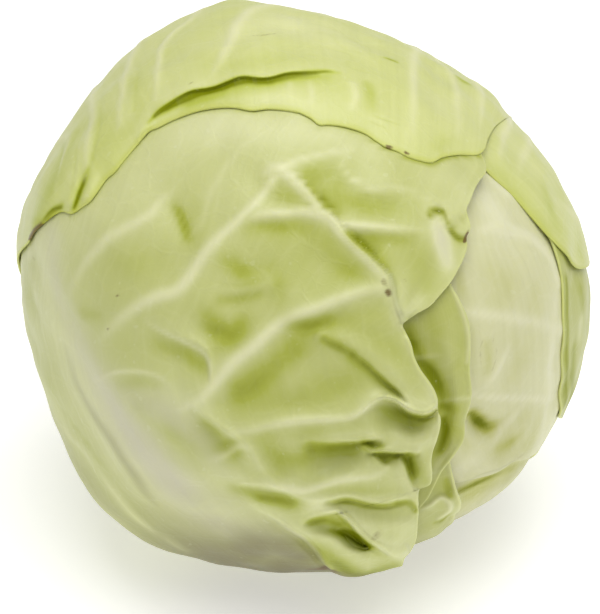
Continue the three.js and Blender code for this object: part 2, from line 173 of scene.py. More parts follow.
# How strongly each direction feels a line on the head: full on it, fading over its width on either side
def lineField(line, directions):
    field = np.zeros(len(directions))
    curve = line["curve"]
    widths = np.atleast_1d(line["width"])
    middle = normalised(curve.mean(0))
    limit = np.linalg.norm(curve - middle, axis=1).max() + widths.max() * feltWidths / head["depth"]
    close = np.linalg.norm(directions - middle, axis=1) < limit
    if not close.any():
        return field
    near = directions[close]
    best = np.full(len(near), np.inf)
    along = np.zeros(len(near))
    for k in range(len(curve) - 1):
        stride = curve[k + 1] - curve[k]
        offset = near - curve[k]
        part = np.clip(offset @ stride / (stride @ stride), 0.0, 1.0)
        distance = np.linalg.norm(offset - part[:, None] * stride, axis=1) * head["depth"]
        closer = distance < best
        best[closer] = distance[closer]
        along[closer] = (k + part[closer]) / (len(curve) - 1)
    width = np.interp(along, np.linspace(0, 1, len(widths)), widths)
    strength = np.interp(along, np.linspace(0, 1, len(line["strength"])), line["strength"])
    field[close] = strength * np.exp(-((best / width) ** 2))
    return field


def stroke(points, strength, width, steps=5):
    return {"curve": normalised(curveThrough(points, steps)), "strength": strength, "width": width}


# Strokes on one layer, each given as pixels of the photograph, strengths and widths in mm
def drawn(number, *lines):
    return [stroke(seen(points, level(number)), strength, width) for points, strength, width in lines]


lumps = [
    {"towards": around([(200, 20)])[0], "turns": 1.9, "height": 0.9},
    {"towards": around([(320, 50)])[0], "turns": 2.6, "height": 0.6},
    {"towards": around([(80, -10)])[0], "turns": 3.1, "height": 0.6},
]
# a dent is full at the height of its top and widens on the layers under it
dents = [
    {
        "line": stroke(onSmoothHead([(473, 422), (487, 430), (503, 428)], 3), [0.6, 1, 0.3], 3.4),
        "depth": 4.2,
        "top": 2.6,
        "widening": 0.3,
    },
]


def headRadius(directions, height):
    x = directions @ across
    y = directions @ upward
    rim = rimRadius(np.arctan2(y, x)) + height
    depth = head["depth"] + height
    radius = 1 / np.hypot(np.hypot(x, y) / rim, directions @ towards / depth)
    for lump in lumps:
        radius += lump["height"] * np.sin(lump["turns"] * np.pi * (directions @ lump["towards"]))
    for dent in dents:
        below = max(dent["top"] - height, 0.0)
        widened = dict(dent["line"], width=dent["line"]["width"] * (1 + dent["widening"] * below))
        radius -= dent["depth"] * lineField(widened, directions)
    lowest = head["lowestLeaf"] + head["outerLevel"] * head["pitch"] - height
    flat = (head["centre"][2] - lowest) / np.maximum(-directions[:, 2], 1e-6)
    power = head["flattening"]
    return (radius**-power + flat**-power) ** (-1 / power)


def level(number):
    return number * head["pitch"]


def between(start, end, part):
    angle = np.arccos(np.clip((start * end).sum(-1, keepdims=True), -1, 1))
    safe = np.maximum(angle, 1e-6)
    turned = (start * np.sin((1 - part) * safe) + end * np.sin(part * safe)) / np.sin(safe)
    return np.where(angle < 1e-6, start, turned)


# Directions that start out of sight, as compass angle and latitude, and run on through pixels
def route(hidden, pixels, number):
    return joined(around(hidden), seen(pixels, level(number)))


def baseAt(compass):
    compass = np.atleast_1d(compass)
    latitude = -90 + np.degrees(np.arctan(head["baseRadius"] / (head["centre"][2] - head["lowestLeaf"])))
    return around(np.stack([compass, np.full(len(compass), latitude)], -1))


# A leaf's directions over its grid: columns run from the left margin (-1) over the midrib (0) to the
# right margin (1), rows from the base (0) to the tip (1)
def leafDirections(outline, columns, rows):
    base = outline["base"]
    midrib = joined(baseAt(base[1]), outline["midrib"])
    middle = evenlyAlong(normalised(curveThrough(midrib, 8)), rows)[:, None, :]
    tip = outline["midrib"][-1:]
    halves = (
        ("left", base[0], -columns[columns < 0]),
        ("right", base[2], columns[columns >= 0]),
    )
    sides = []
    for name, compass, share in halves:
        margin = joined(baseAt(compass), outline[name])
        edge = evenlyAlong(normalised(curveThrough(margin, 8)), rows)[:, None, :]
        corner = outline[name][-1:]
        far = joined(tip, outline.get(name + "Tip", np.zeros((0, 3))), corner)
        farAt = evenlyAlong(normalised(curveThrough(far, 8)), share)
        farShift = farAt - between(tip, corner, share[:, None])
        nearAt = baseAt(base[1] + (compass - base[1]) * share)
        nearShift = nearAt - between(baseAt(base[1]), baseAt(compass), share[:, None])
        straight = between(middle, edge, share[None, :, None])
        along = rows[:, None, None]
        sides.append(normalised(straight + along * farShift[None] + (1 - along) * nearShift[None]))
    return np.concatenate(sides, 1)


def gridShares(runs):
    shares = [0.0]
    start = 0.0
    for end, steps in runs:
        shares.extend(start + (end - start) * (np.arange(steps) + 1) / steps)
        start = end
    return np.array(shares)


def blurred(sheet, size):
    acrossPart = np.fft.rfftfreq(sheet.shape[1])[None, :] ** 2
    downPart = np.fft.fftfreq(sheet.shape[0])[:, None] ** 2
    weight = np.exp(-2 * (np.pi * size) ** 2 * (acrossPart + downPart))
    return np.fft.irfft2(np.fft.rfft2(sheet) * weight, sheet.shape)


# Sizes for stretchedSheet(), in pixels of the photograph
sheetRules = {
    "reach": 26.0,  # how far a line pulls the sheet up
    "rounds": 140,  # at each of the scales
    "lipEdge": 3.0,  # width of the crisp strip along a lip
    "lipBlur": 1.1,
    "swellBlur": 4.0,
}


# A sheet stretched over lines of known height, in the photograph's frame. Each line is a list of
# (column, row, height in mm); lips stay crisp and swells come out round.
def stretchedSheet(lips, swells, reach=sheetRules["reach"]):
    lines = [(line, 1.0) for line in lips] + [(line, 0.0) for line in swells]
    places = np.concatenate([np.array(line)[:, :2] for line, _ in lines])
    low = np.floor(places.min(0) - 2 * reach)
    columns, rows = ((places.max(0) - low + 2 * reach) // 8 * 8 + 8).astype(int)
    total, count, crisp = (np.zeros((rows, columns)) for _ in range(3))
    for line, sharpness in lines:
        dense = curveThrough(line, 60)
        column, row = np.round(dense[:, :2] - low).astype(int).T
        np.add.at(total, (row, column), dense[:, 2])
        np.add.at(count, (row, column), 1)
        crisp[row, column] = np.maximum(crisp[row, column], sharpness)
    sheet = np.zeros((rows // 8, columns // 8))
    for scale in (8, 4, 2, 1):
        if scale < 8:
            sheet = sheet.repeat(2, 0).repeat(2, 1)
        shape = (rows // scale, scale, columns // scale, scale)
        amount = count.reshape(shape).sum((1, 3))
        held = total.reshape(shape).sum((1, 3)) / np.maximum(amount, 1)
        for _ in range(sheetRules["rounds"]):
            framed = np.pad(sheet, 1)
            spread = framed[:-2, 1:-1] + framed[2:, 1:-1] + framed[1:-1, :-2] + framed[1:-1, 2:]
            sheet = np.where(amount > 0, held, spread / (4 + (scale / reach) ** 2))
    share = np.clip(blurred(crisp, sheetRules["lipEdge"]) * 10, 0, 1)
    sharp = blurred(sheet, sheetRules["lipBlur"])
    soft = blurred(sheet, sheetRules["swellBlur"])
    return low, sharp * share + soft * (1 - share)


# A lip and the foot of the step below it, which lies to the right of the way that the lip is drawn
def step(lip, drops, gap=2.5):
    line = np.array(lip, float)
    way = np.gradient(line[:, :2], axis=0)
    side = normalised(np.stack([-way[:, 1], way[:, 0]], -1))
    drop = np.interp(np.linspace(0, 1, len(line)), np.linspace(0, 1, len(drops)), drops)
    return [line, np.column_stack([line[:, :2] + side * gap, line[:, 2] - drop])]


def sampled(sheet, pixels):
    low, values = sheet
    place = pixels - low
    limit = np.array(values.shape[::-1]) - 2
    inside = ((place > 0) & (place < limit)).all(1)
    whole = np.clip(np.floor(place), 0, limit - 1).astype(int)
    part = np.clip(place - whole, 0, 1)
    column, row = whole.T
    right, down = part.T
    top = values[row, column] * (1 - right) + values[row, column + 1] * right
    bottom = values[row + 1, column] * (1 - right) + values[row + 1, column + 1] * right
    return np.where(inside, top * (1 - down) + bottom * down, 0.0)


# Faint unevenness of a leaf between its veins
quilt = {"waves": 40, "height": 0.05, "slowest": 18, "fastest": 52, "seed": 5}
chance = np.random.default_rng(quilt["seed"])
quiltAxes = normalised(chance.normal(size=(quilt["waves"], 3)))
quiltAxes = quiltAxes * chance.uniform(quilt["slowest"], quilt["fastest"], (quilt["waves"], 1))
quiltPhases = chance.uniform(0, 2 * np.pi, quilt["waves"])


def quilted(directions):
    return quilt["height"] * np.sin(directions @ quiltAxes.T + quiltPhases).sum(1)


def addMesh(name, points, faces, values, material):
    mesh = bpy.data.meshes.new(name)
    mesh.vertices.add(len(points))
    mesh.vertices.foreach_set("co", (points * mm).astype(np.float32).ravel())
    mesh.loops.add(faces.size)
    mesh.loops.foreach_set("vertex_index", faces.astype(np.int32).ravel())
    mesh.polygons.add(len(faces))
    mesh.polygons.foreach_set("loop_start", np.arange(0, faces.size, 3, dtype=np.int32))
    mesh.update(calc_edges=True)
    mesh.shade_smooth()
    for label, value in values.items():
        mesh.attributes.new(label, "FLOAT", "POINT").data.foreach_set("value", value.astype(np.float32))
    mesh.materials.append(material)
    piece = bpy.data.objects.new(name, mesh)
    bpy.context.scene.collection.objects.link(piece)
    return piece


def gridTriangles(index):
    a, b, c, d = index[:-1, :-1], index[:-1, 1:], index[1:, 1:], index[1:, :-1]
    return joined(np.stack([a, b, c], -1).reshape(-1, 3), np.stack([a, c, d], -1).reshape(-1, 3))


def ringOf(index):
    return joined(index[0, :], index[1:, -1], index[-1, -2::-1], index[-2:0:-1, 0])


roundedMargin = 0.4  # how far the rim stands out, as a share of the thickness there


# A thin closed blade: a fine outer face, an inner face of every second row and column, a rounded margin
def bladeOf(outer, thickness, directions):
    rows, columns = outer.shape[:2]
    index = np.arange(rows * columns).reshape(rows, columns)
    inner = (outer - directions * thickness[..., None])[::2, ::2]
    innerIndex = np.arange(inner.shape[0] * inner.shape[1]).reshape(inner.shape[:2]) + index.size
    ring = ringOf(index)
    innerRing = ringOf(innerIndex)
    inward = np.clip(ring // columns, 1, rows - 2) * columns + np.clip(ring % columns, 1, columns - 2)
    flat = outer.reshape(-1, 3)
    edgeThickness = thickness.ravel()[ring][:, None]
    rim = flat[ring] - directions.reshape(-1, 3)[ring] * edgeThickness / 2
    rim += normalised(flat[ring] - flat[inward]) * edgeThickness * roundedMargin
    rimIndex = np.arange(len(ring)) + index.size + innerIndex.size
    nextRing, nextRim = np.roll(ring, -1), np.roll(rimIndex, -1)
    nextInner = np.roll(innerRing, -1)
    even, odd, following = rimIndex[::2], rimIndex[1::2], np.roll(rimIndex[::2], -1)
    faces = joined(
        gridTriangles(index),
        gridTriangles(innerIndex)[:, ::-1],
        np.stack([nextRing, ring, rimIndex], -1),
        np.stack([nextRing, rimIndex, nextRim], -1),
        np.stack([odd, even, innerRing], -1),
        np.stack([following, odd, nextInner], -1),
        np.stack([odd, innerRing, nextInner], -1),
    )
    points = joined(flat, inner.reshape(-1, 3), rim)
    source = joined(index.ravel(), index[::2, ::2].ravel(), ring)
    return points, faces, source


def fromMargin(grid):
    stepAcross = np.linalg.norm(np.diff(grid, axis=1), axis=2)
    stepAlong = np.linalg.norm(np.diff(grid, axis=0), axis=2)
    left = np.pad(np.cumsum(stepAcross, 1), ((0, 0), (1, 0)))
    base = np.pad(np.cumsum(stepAlong, 0), ((1, 0), (0, 0)))
    return np.minimum(np.minimum(left, left[:, -1:] - left), base[-1:] - base)


def strongest(strokes, directions):
    field = np.zeros(len(directions))
    for line in strokes:
        field = np.maximum(field, lineField(line, directions))
    return field


def summed(strokes, directions):
    field = np.zeros(len(directions))
    for line in strokes:
        field += lineField(line, directions)
    return field


# Rules that every leaf follows
growth = {
    "blade": 0.8,  # thickness between the veins
    "veinThickness": 0.4,
    "rib": 0.5,  # how far a full vein stands proud
    "crease": 0.3,
    # painted shade: how much greener and darker a crease is painted
    "creaseShade": 0.3,
    "paintedShade": 0.6,  # painted shade: how dark a leaf is painted towards its base
    "paintedShadeFrom": 0.4,  # downward part of the direction where the painted shade starts towards the base
    "paintedShadeTo": 0.9,
    "stripes": 100.0,  # how finely the grain divides a leaf, across and along
    "awayFromMargin": 9.0,
    # the sheet counts where a place faces the eye: not at all at the first figure, in full at the second
    "shown": (-0.05, 0.2),
    "lifted": (0.1, 0.4),
    "steepest": 0.3,
    "hollowLimits": (-0.9, 4.0),
    "hollowReach": 10.0,  # in pixels of the photograph
    "hollowShade": 0.22,  # painted shade and light: more green for each millimetre that a place lies below what is round it
}


def finish(piece, node):
    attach(piece, "root")
    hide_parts(node)
    print(piece.name, "built with", len(piece.data.polygons), "faces")


def buildLeaf(name, leaf, material):
    columns = joined(-gridShares(leaf["leftColumns"])[:0:-1], gridShares(leaf["rightColumns"]))
    rows = gridShares(leaf["rows"])
    grid = leafDirections(leaf["outline"], columns, rows)
    shape = grid.shape[:2]
    directions = grid.reshape(-1, 3)
    surface = head["centre"] + directions * headRadius(directions, level(leaf["level"]))[:, None]
    vein = strongest(leaf["ribs"], directions)
    crease = strongest(leaf.get("creases", []), directions)
    rise = quilted(directions)
    rise += vein * growth["rib"] - crease * growth["crease"] - summed(leaf.get("presses", []), directions)
    # the folds are lifted towards the eye, so that they stay at their pixels
    toEye = normalised(eye - surface)
    facing = (directions * toEye).sum(1)
    lifted = np.zeros(len(directions))
    hollow = np.zeros(len(directions))
    if "sheet" in leaf:
        low, sheet = leaf["sheet"]
        shown = eased(facing, *growth["shown"])
        lifted = sampled((low, sheet), pixelsOf(surface)) * shown
        hollow = sampled((low, blurred(sheet, growth["hollowReach"]) - sheet), pixelsOf(surface)) * shown
    share = eased(facing, *growth["lifted"])[:, None]
    lift = share * toEye / np.maximum(facing, growth["steepest"])[:, None] + (1 - share) * directions
    outer = surface + directions * rise[:, None] + lift * lifted[:, None]
    thickness = growth["blade"] + growth["veinThickness"] * vein
    points, faces, source = bladeOf(outer.reshape(*shape, 3), thickness.reshape(shape), grid)
    # painted shade: darker towards the base and along the shade strokes, taken off again along the strokes
    # under "lights"
    paintedShade = eased(-directions[:, 2], growth["paintedShadeFrom"], growth["paintedShadeTo"])
    paintedShade *= leaf.get("paintedShade", growth["paintedShade"])
    paintedShade = np.maximum(paintedShade, strongest(leaf.get("paintedShadeStrokes", []), directions))
    paintedShade -= strongest(leaf.get("lights", []), directions)
    green = leaf["greenness"] + summed(leaf.get("patches", []), directions)
    # painted shade in the creases
    green += growth["creaseShade"] * crease
    values = {
        "vein": vein,
        # painted shade and light: hollows get greener, places that stand proud get paler
        "green": green + growth["hollowShade"] * np.clip(hollow, *growth["hollowLimits"]),
        "stalk": strongest(leaf.get("stalks", []), directions),
        "paintedShade": np.clip(paintedShade, 0, 1),
        "margin": fromMargin(outer.reshape(*shape, 3)).ravel(),
        "spot": strongest(leaf.get("spots", []), directions),
        "across": np.tile(columns * growth["stripes"], shape[0]),
        "along": np.repeat(rows * growth["stripes"], shape[1]),
    }
    values = {label: value[source] for label, value in values.items()}
    piece = addMesh(name, points, faces, values, material)
    finish(piece, leaf["node"])


def skinMaterial(name, look):
    material = bpy.data.materials.new(name)
    material.use_nodes = True
    nodes = material.node_tree.nodes
    links = material.node_tree.links
    shader = nodes["Principled BSDF"]
    shader.inputs["Roughness"].default_value = look["roughness"]
    shader.inputs["Subsurface Weight"].default_value = look["glow"]
    shader.inputs["Subsurface Radius"].default_value = look["glowRadius"]
    shader.inputs["Subsurface Scale"].default_value = look["glowDepth"]

    def put(socket, value):
        if isinstance(value, tuple):
            socket.default_value = (*value, 1.0)
        elif isinstance(value, (int, float)):
            socket.default_value = value
        else:
            links.new(value, socket)

    def attribute(label):
        node = nodes.new("ShaderNodeAttribute")
        node.attribute_name = label
        return node.outputs["Fac"]

    def maths(operation, first, second=0.0, clamp=False):
        node = nodes.new("ShaderNodeMath")
        node.operation = operation
        node.use_clamp = clamp
        put(node.inputs[0], first)
        put(node.inputs[1], second)
        return node.outputs[0]

    def ramp(value, low, high, start=0.0, end=1.0):
        node = nodes.new("ShaderNodeMapRange")
        node.interpolation_type = "SMOOTHSTEP"
        amounts = {"Value": value, "From Min": low, "From Max": high, "To Min": start, "To Max": end}
        for label, amount in amounts.items():
            put(node.inputs[label], amount)
        return node.outputs["Result"]

    def mixed(share, first, second):
        node = nodes.new("ShaderNodeMix")
        node.data_type = "RGBA"
        put(node.inputs["Factor"], share)
        put(node.inputs[6], first)
        put(node.inputs[7], second)
        return node.outputs[2]

    places = nodes.new("ShaderNodeTexCoord").outputs["Object"]

    def noise(scale, detail, output="Fac", where=places):
        node = nodes.new("ShaderNodeTexNoise")
        node.inputs["Scale"].default_value = scale
        node.inputs["Detail"].default_value = detail
        links.new(where, node.inputs["Vector"])
        return node.outputs[output]

    bend = nodes.new("ShaderNodeVectorMath")
    bend.operation = "MULTIPLY_ADD"
    links.new(noise(look["bendScale"], 2.0, "Color"), bend.inputs[0])
    bend.inputs[1].default_value = (look["bendBy"],) * 3
    links.new(places, bend.inputs[2])

    def net(scale, width):
        node = nodes.new("ShaderNodeTexVoronoi")
        node.feature = "DISTANCE_TO_EDGE"
        node.inputs["Scale"].default_value = scale
        links.new(bend.outputs["Vector"], node.inputs["Vector"])
        return ramp(node.outputs["Distance"], 0.0, width, 1.0, 0.0)

    # fine lines that run from the base of the leaf to its tip
    grain = nodes.new("ShaderNodeCombineXYZ")
    links.new(attribute("across"), grain.inputs["X"])
    links.new(maths("MULTIPLY", attribute("along"), look["stripeSquash"]), grain.inputs["Y"])
    stripes = maths("SUBTRACT", noise(look["stripeScale"], 4.0, "Fac", grain.outputs["Vector"]), 0.5)

    branches = net(look["branchScale"], look["branchWidth"])
    veinlets = net(look["branchScale"] * 3.0, look["branchWidth"] * 1.5)
    veinShare = attribute("vein")
    mottle = maths("SUBTRACT", noise(look["mottleScale"], 3.0), 0.5)
    # the green attribute holds the leaf's own green and also painted shade from hollows, creases and shadow
    # patches
    green = maths("ADD", attribute("green"), maths("MULTIPLY", mottle, look["mottle"]))
    green = maths("ADD", green, maths("MULTIPLY", stripes, look["stripes"]))
    green = maths("SUBTRACT", green, maths("MULTIPLY", branches, look["branchPale"]))
    green = maths("SUBTRACT", green, maths("MULTIPLY", veinlets, look["branchPale"] * 0.4))
    green = maths("SUBTRACT", green, maths("MULTIPLY", veinShare, look["veinPale"]))
    colour = mixed(maths("ADD", green, 0.0, clamp=True), look["pale"], look["green"])
    # painted shade: the highest green values, in hollows, creases and under lips, turn to a dark olive
    colour = mixed(ramp(green, 0.9, 1.8), colour, look["hollowShadeColour"])
    colour = mixed(maths("MULTIPLY", veinShare, look["veinShare"]), colour, look["veinColour"])
    stalk = maths("ADD", attribute("stalk"), maths("MULTIPLY", stripes, 0.3), clamp=True)
    colour = mixed(maths("MULTIPLY", stalk, look["stalkShare"]), colour, look["stalkColour"])
    # painted shade: darker towards the base and along the shade strokes
    colour = mixed(attribute("paintedShade"), colour, look["paintedShadeColour"])
    # rim of each blade: partly the margin's own yellow-green, partly painted light shining through the thin
    # edge
    rimShare = ramp(attribute("margin"), 0.0, look["marginWidth"], look["marginShare"], 0.0)
    colour = mixed(rimShare, colour, look["rimColourAndGlow"])
    speckShare = ramp(noise(look["speckScale"], 1.0), *look["speckRange"], 0.0, look["specks"])
    colour = mixed(speckShare, colour, look["speckColour"])
    frayed = maths("MULTIPLY", maths("SUBTRACT", noise(look["spotScale"], 2.0), 0.5), 0.5)
    spotShare = ramp(maths("ADD", attribute("spot"), frayed), *look["spotRange"], 0.0, look["spotShare"])
    colour = mixed(spotShare, colour, look["spotColour"])
    links.new(colour, shader.inputs["Base Color"])
    links.new(ramp(green, 0.7, 1.5, look["gloss"], 0.05), shader.inputs["Specular IOR Level"])

    bump = nodes.new("ShaderNodeBump")
    bump.inputs["Strength"].default_value = look["bump"]
    bump.inputs["Distance"].default_value = look["bumpDepth"]
    raised = maths("ADD", maths("MULTIPLY", branches, 0.5), maths("MULTIPLY", veinlets, 0.2))
    raised = maths("ADD", raised, stripes)
    links.new(maths("ADD", raised, noise(look["bumpScale"], 3.0)), bump.inputs["Height"])
    links.new(bump.outputs["Normal"], shader.inputs["Normal"])
    return material


leafLook = {
    "pale": (0.66, 0.67, 0.36),
    "green": (0.38, 0.415, 0.065),
    # painted shade colour for hollows, creases and the shade under lips
    "hollowShadeColour": (0.20, 0.23, 0.004),
    "veinColour": (0.72, 0.71, 0.44),
    "veinShare": 0.5,
    "veinPale": 0.45,
    "stalkColour": (0.58, 0.555, 0.41),
    "stalkShare": 0.9,
    # painted shade colour for the base and the shade strokes
    "paintedShadeColour": (0.20, 0.18, 0.085),
    # rim of a blade: its own yellow-green and painted light through the thin edge
    "rimColourAndGlow": (0.66, 0.69, 0.28),
    "marginShare": 0.5,
    "marginWidth": 0.9,
    "speckColour": (0.80, 0.82, 0.62),
    "specks": 0.1,
    "speckScale": 380.0,
    "speckRange": (0.70, 0.78),
    "spotColour": (0.14, 0.085, 0.02),
    "spotShare": 0.9,
    "spotScale": 900.0,
    "spotRange": (0.25, 1.1),
    "mottle": 0.45,
    "mottleScale": 30.0,
    "stripes": 0.25,
    "stripeScale": 0.45,
    "stripeSquash": 0.06,
    "bendScale": 110.0,  # waves in the net of fine veins
    "bendBy": 0.007,
    "branchScale": 95.0,
    "branchWidth": 0.09,
    "branchPale": 0.04,
    "bump": 0.2,
    "bumpDepth": 0.0004,
    "bumpScale": 240.0,
    "roughness": 0.42,
    "gloss": 0.35,
    "glow": 0.15,
    "glowRadius": (1.0, 0.9, 0.3),
    "glowDepth": 0.002,
}
topSkin = skinMaterial("topLeafSkin", dict(
    leafLook,
    pale=(0.71, 0.72, 0.37),
    green=(0.46, 0.51, 0.08),
    stripes=0.3,
    rimColourAndGlow=(0.52, 0.56, 0.08),
    marginWidth=2.2,
))
frontSkin = skinMaterial("frontLeafSkin", leafLook)
paleSkin = skinMaterial("paleLeafSkin", dict(leafLook, pale=(0.73, 0.72, 0.47), green=(0.45, 0.46, 0.10)))
greenSkin = skinMaterial("greenLeafSkin", dict(leafLook, green=(0.38, 0.41, 0.06)))

lowerRightLeaf = {
    "node": "leaf_lower_right",
    "slot": "pale_leaf",
    "level": 1,
    "rows": [(1, 100)],
    "leftColumns": [(1, 50)],
    "rightColumns": [(1, 50)],
    "outline": {
        "base": (-75, -45, -5),
        "left": route([(-72, -60)], [(440, 530), (446, 505), (446, 480), (436, 450)], 1),
        "midrib": route([(-42, -55)], [(500, 480), (505, 440), (500, 400)], 1),
        "right": route([(-12, -55), (-12, -30), (-14, -10)], [(556, 350)], 1),
    },
    "greenness": 0.5,
    # painted shade on the lower part of the leaf
    "paintedShadeStrokes": drawn(1, ([(475, 508), (500, 487), (525, 463)], [0.25, 0.22, 0.15], 9)),
    "patches": drawn(1,
        # painted shadow along the margin of the leaf that lies over it
        ([(460, 490), (475, 484), (490, 477), (508, 469), (520, 464), (535, 457)],
        [0.9, 1.1, 0.9, 0.5, 0.3, 0.1], 1.7),
        ([(466, 497), (490, 485), (515, 472)], [0.4, 0.35, 0.2], 4),
    ),
    "ribs": [
        stroke(route([(-45, -72), (-42, -55)], [(500, 480), (505, 440)], 1), [1, 0.6, 0.2, 0.2], [4, 3]),
        stroke(route([(-70, -62)], [(456, 520), (475, 500), (512, 470)], 1), [0.4, 0.2, 0.1], [2, 1.5]),
    ],
}
buildLeaf("lowerRightLeaf", lowerRightLeaf, paleSkin)

rightLeaf = {
    "node": "leaf_right",
    "slot": "pale_leaf",
    "level": 2,
    "rows": [(1, 180)],
    "leftColumns": [(1, 100)],
    "rightColumns": [(1, 60)],
    "outline": {
        "base": (0, 35, 70),
        "left": route([(-8, -50)], [(543, 453), (520, 460), (500, 467), (483, 473), (466, 481),
            (452, 483), (436, 470), (428, 430), (425, 370), (425, 300), (440, 220), (448, 172)], 2),
        "midrib": route([(18, -50), (6, -25), (4, 0), (6, 20)], [(530, 170), (505, 135)], 2),
        "right": around([(60, -40), (50, -10), (45, 20), (35, 48)]),
    },
    "greenness": 0.3,
    "ribs": drawn(2,
        ([(482, 230), (499, 227), (515, 231), (534, 240), (550, 256), (558, 280)],
        [0.4, 0.8, 0.9, 0.8, 0.5], [1.4, 2.0]),
        ([(467, 312), (482, 314), (506, 317), (535, 322), (560, 330)], [0.3, 0.7, 0.7, 0.5, 0.5],
        [1.2, 1.8]),
        ([(508, 346), (502, 362), (492, 378), (484, 386)], [0.3, 0.7, 0.5, 0.1], [1.0, 0.9]),
        ([(473, 396), (495, 397), (522, 398), (555, 398)], [0.4, 0.8, 0.7, 0.5], [0.7, 1.0]),
        ([(524, 404), (512, 418), (500, 432), (492, 446)], [0.2, 0.5, 0.5, 0.1], 1.4),
        ([(484, 172), (500, 188), (515, 197), (530, 212)], [0.3, 0.5, 0.6, 0.4], 1.8),
        ([(556, 300), (552, 340), (548, 390), (540, 430)], [0.3, 0.4, 0.4, 0.1], 2.4),
    ),
    "patches": drawn(2,
        # painted shadow along the margins of the leaves that lie over it
        ([(484, 167), (500, 179), (520, 198), (536, 218), (550, 240)], [1.2, 1.6, 1.5, 1.0, 0.8], 1.0),
        ([(556, 252), (561, 275), (563, 310), (563, 350), (562, 390), (558, 412)],
        [0.8, 1.0, 1.2, 1.2, 1.0, 0.6], 0.9),
        ([(475, 185), (490, 205), (500, 220)], [-0.15, -0.25, -0.2], 5),
        ([(455, 268), (460, 290), (466, 300)], [0.3, 0.35, 0.15], 2.6),
        ([(490, 270), (505, 285), (500, 298)], [0.15, 0.22, 0.15], 5),
        ([(535, 290), (532, 310)], [0.15, 0.1], 3),
        ([(487, 345), (489, 357), (487, 370)], [0.3, 0.35, 0.3], 1.9),
        ([(515, 345), (520, 360), (512, 375)], [0.15, 0.2, 0.15], 4),
        ([(470, 330), (472, 350), (474, 372)], [0.2, 0.15, 0.1], 2),
        # painted shade in the dent
        ([(471, 413), (478, 421), (486, 426), (500, 424)], [1.2, 1.7, 1.3, 0.3], 1.9),
        ([(500, 448), (512, 442), (520, 436)], [0.35, 0.5, 0.2], 2.2),
        ([(520, 412), (535, 425), (530, 440)], [0.15, 0.15, 0.15], 4),
        ([(462, 470), (475, 462), (488, 468)], [-0.25, -0.3, -0.25], 3.5),
        ([(458, 440), (466, 445), (470, 452)], [0.25, 0.2, 0.1], 2),
        ([(480, 490), (500, 455), (530, 440), (545, 415)], [0.2, 0.2, 0.2, 0.1], 6),
    ),
    "sheet": stretchedSheet(
        [
            [(446, 478, 0.2), (455, 483, 0.5), (466, 481, 0.9), (483, 473, 1.0), (500, 467, 0.8),
                (520, 460, 0.5), (540, 452, 0.1)],
        ],
        [
            [(460, 466, 0.0), (480, 458, 0.0), (505, 450, 0.0), (530, 440, 0.0)],
        ],
        10.0,
    ),
    # painted shade towards the bottom of the leaf
    "paintedShadeStrokes": drawn(2, ([(515, 280), (512, 380), (505, 450)], [0.08, 0.1, 0.14], 16)),
    "spots": drawn(2,
        ([(488, 337), (494, 342), (496.5, 352), (495, 363), (490, 372), (485.5, 375), (482, 369),
        (480.5, 358), (481, 346),
            (484, 339), (488, 337)], [0.6, 0.5, 0.55, 0.45, 0.55, 0.6], 0.5),
        ([(498, 328), (499, 329)], [0.2, 0.2], 0.6),
    ),
}
# the same ribs on the side that faces away
for rise in (-36, -16, 4, 24):
    rib = around([(12, rise - 14), (26, rise), (42, rise + 8), (56, rise + 12)])
    rightLeaf["ribs"].append(stroke(rib, [0.1, 0.7, 0.6, 0.2], 1.6))
buildLeaf("rightLeaf", rightLeaf, paleSkin)

lowerMiddleLeaf = {
    "node": "leaf_lower_middle",
    "slot": "green_leaf",
    "level": 3,
    "rows": [(1, 140)],
    "leftColumns": [(1, 40)],
    "rightColumns": [(1, 50)],
    "outline": {
        "base": (-84, -72, -60),
        "left": route([(-84, -65)], [(378, 530), (386, 500), (398, 470)], 3),
        "midrib": route([(-72, -64)], [(420, 530), (424, 495), (425, 462)], 3),
        "right": route([(-66, -63)], [(450, 529), (457, 518), (460, 505), (455, 487), (449, 460)], 3),
    },
    "greenness": 0.7,
    "presses": [
        stroke(route([(-67, -64)], [(450, 529), (458, 518)], 3), [1.9, 1.8, 1.2], 4),
    ],
    "ribs": drawn(3,
        ([(449, 463), (452, 475), (456, 490), (460, 499), (458, 512), (454, 524)],
        [0.3, 0.4, 0.5, 0.6, 0.5, 0.3], 0.9),
        ([(422, 508), (431, 504), (441, 497), (449, 502), (448, 511), (438, 518)],
        [0.2, 0.4, 0.6, 0.6, 0.6, 0.4], 0.9),
    ),
    "patches": drawn(3,
        ([(436, 521), (443, 520), (449, 516)], [0.4, 0.5, 0.2], 1.1),
        ([(447, 480), (450, 496)], [0.3, 0.4], 1.4),
    ),
    "sheet": stretchedSheet(
        [
            [(449, 463, 1.0), (452, 475, 1.6), (455, 488, 2.0), (460, 497, 2.0), (458, 512, 1.4),
                (454, 524, 0.8)],
            [(421, 508, 1.0), (430, 505, 2.0), (441, 497, 2.2), (449, 502, 2.4), (448, 511, 2.2),
                (437, 519, 1.2)],
        ],
        [
            [(437, 522, 0.0), (443, 520, 0.0), (449, 515, 0.4)],
            [(444, 480, 0.4), (447, 492, 0.2)],
            [(430, 535, 1.2), (441, 532, 1.4), (450, 526, 1.0)],
        ],
        12.0,
    ),
}
buildLeaf("lowerMiddleLeaf", lowerMiddleLeaf, greenSkin)

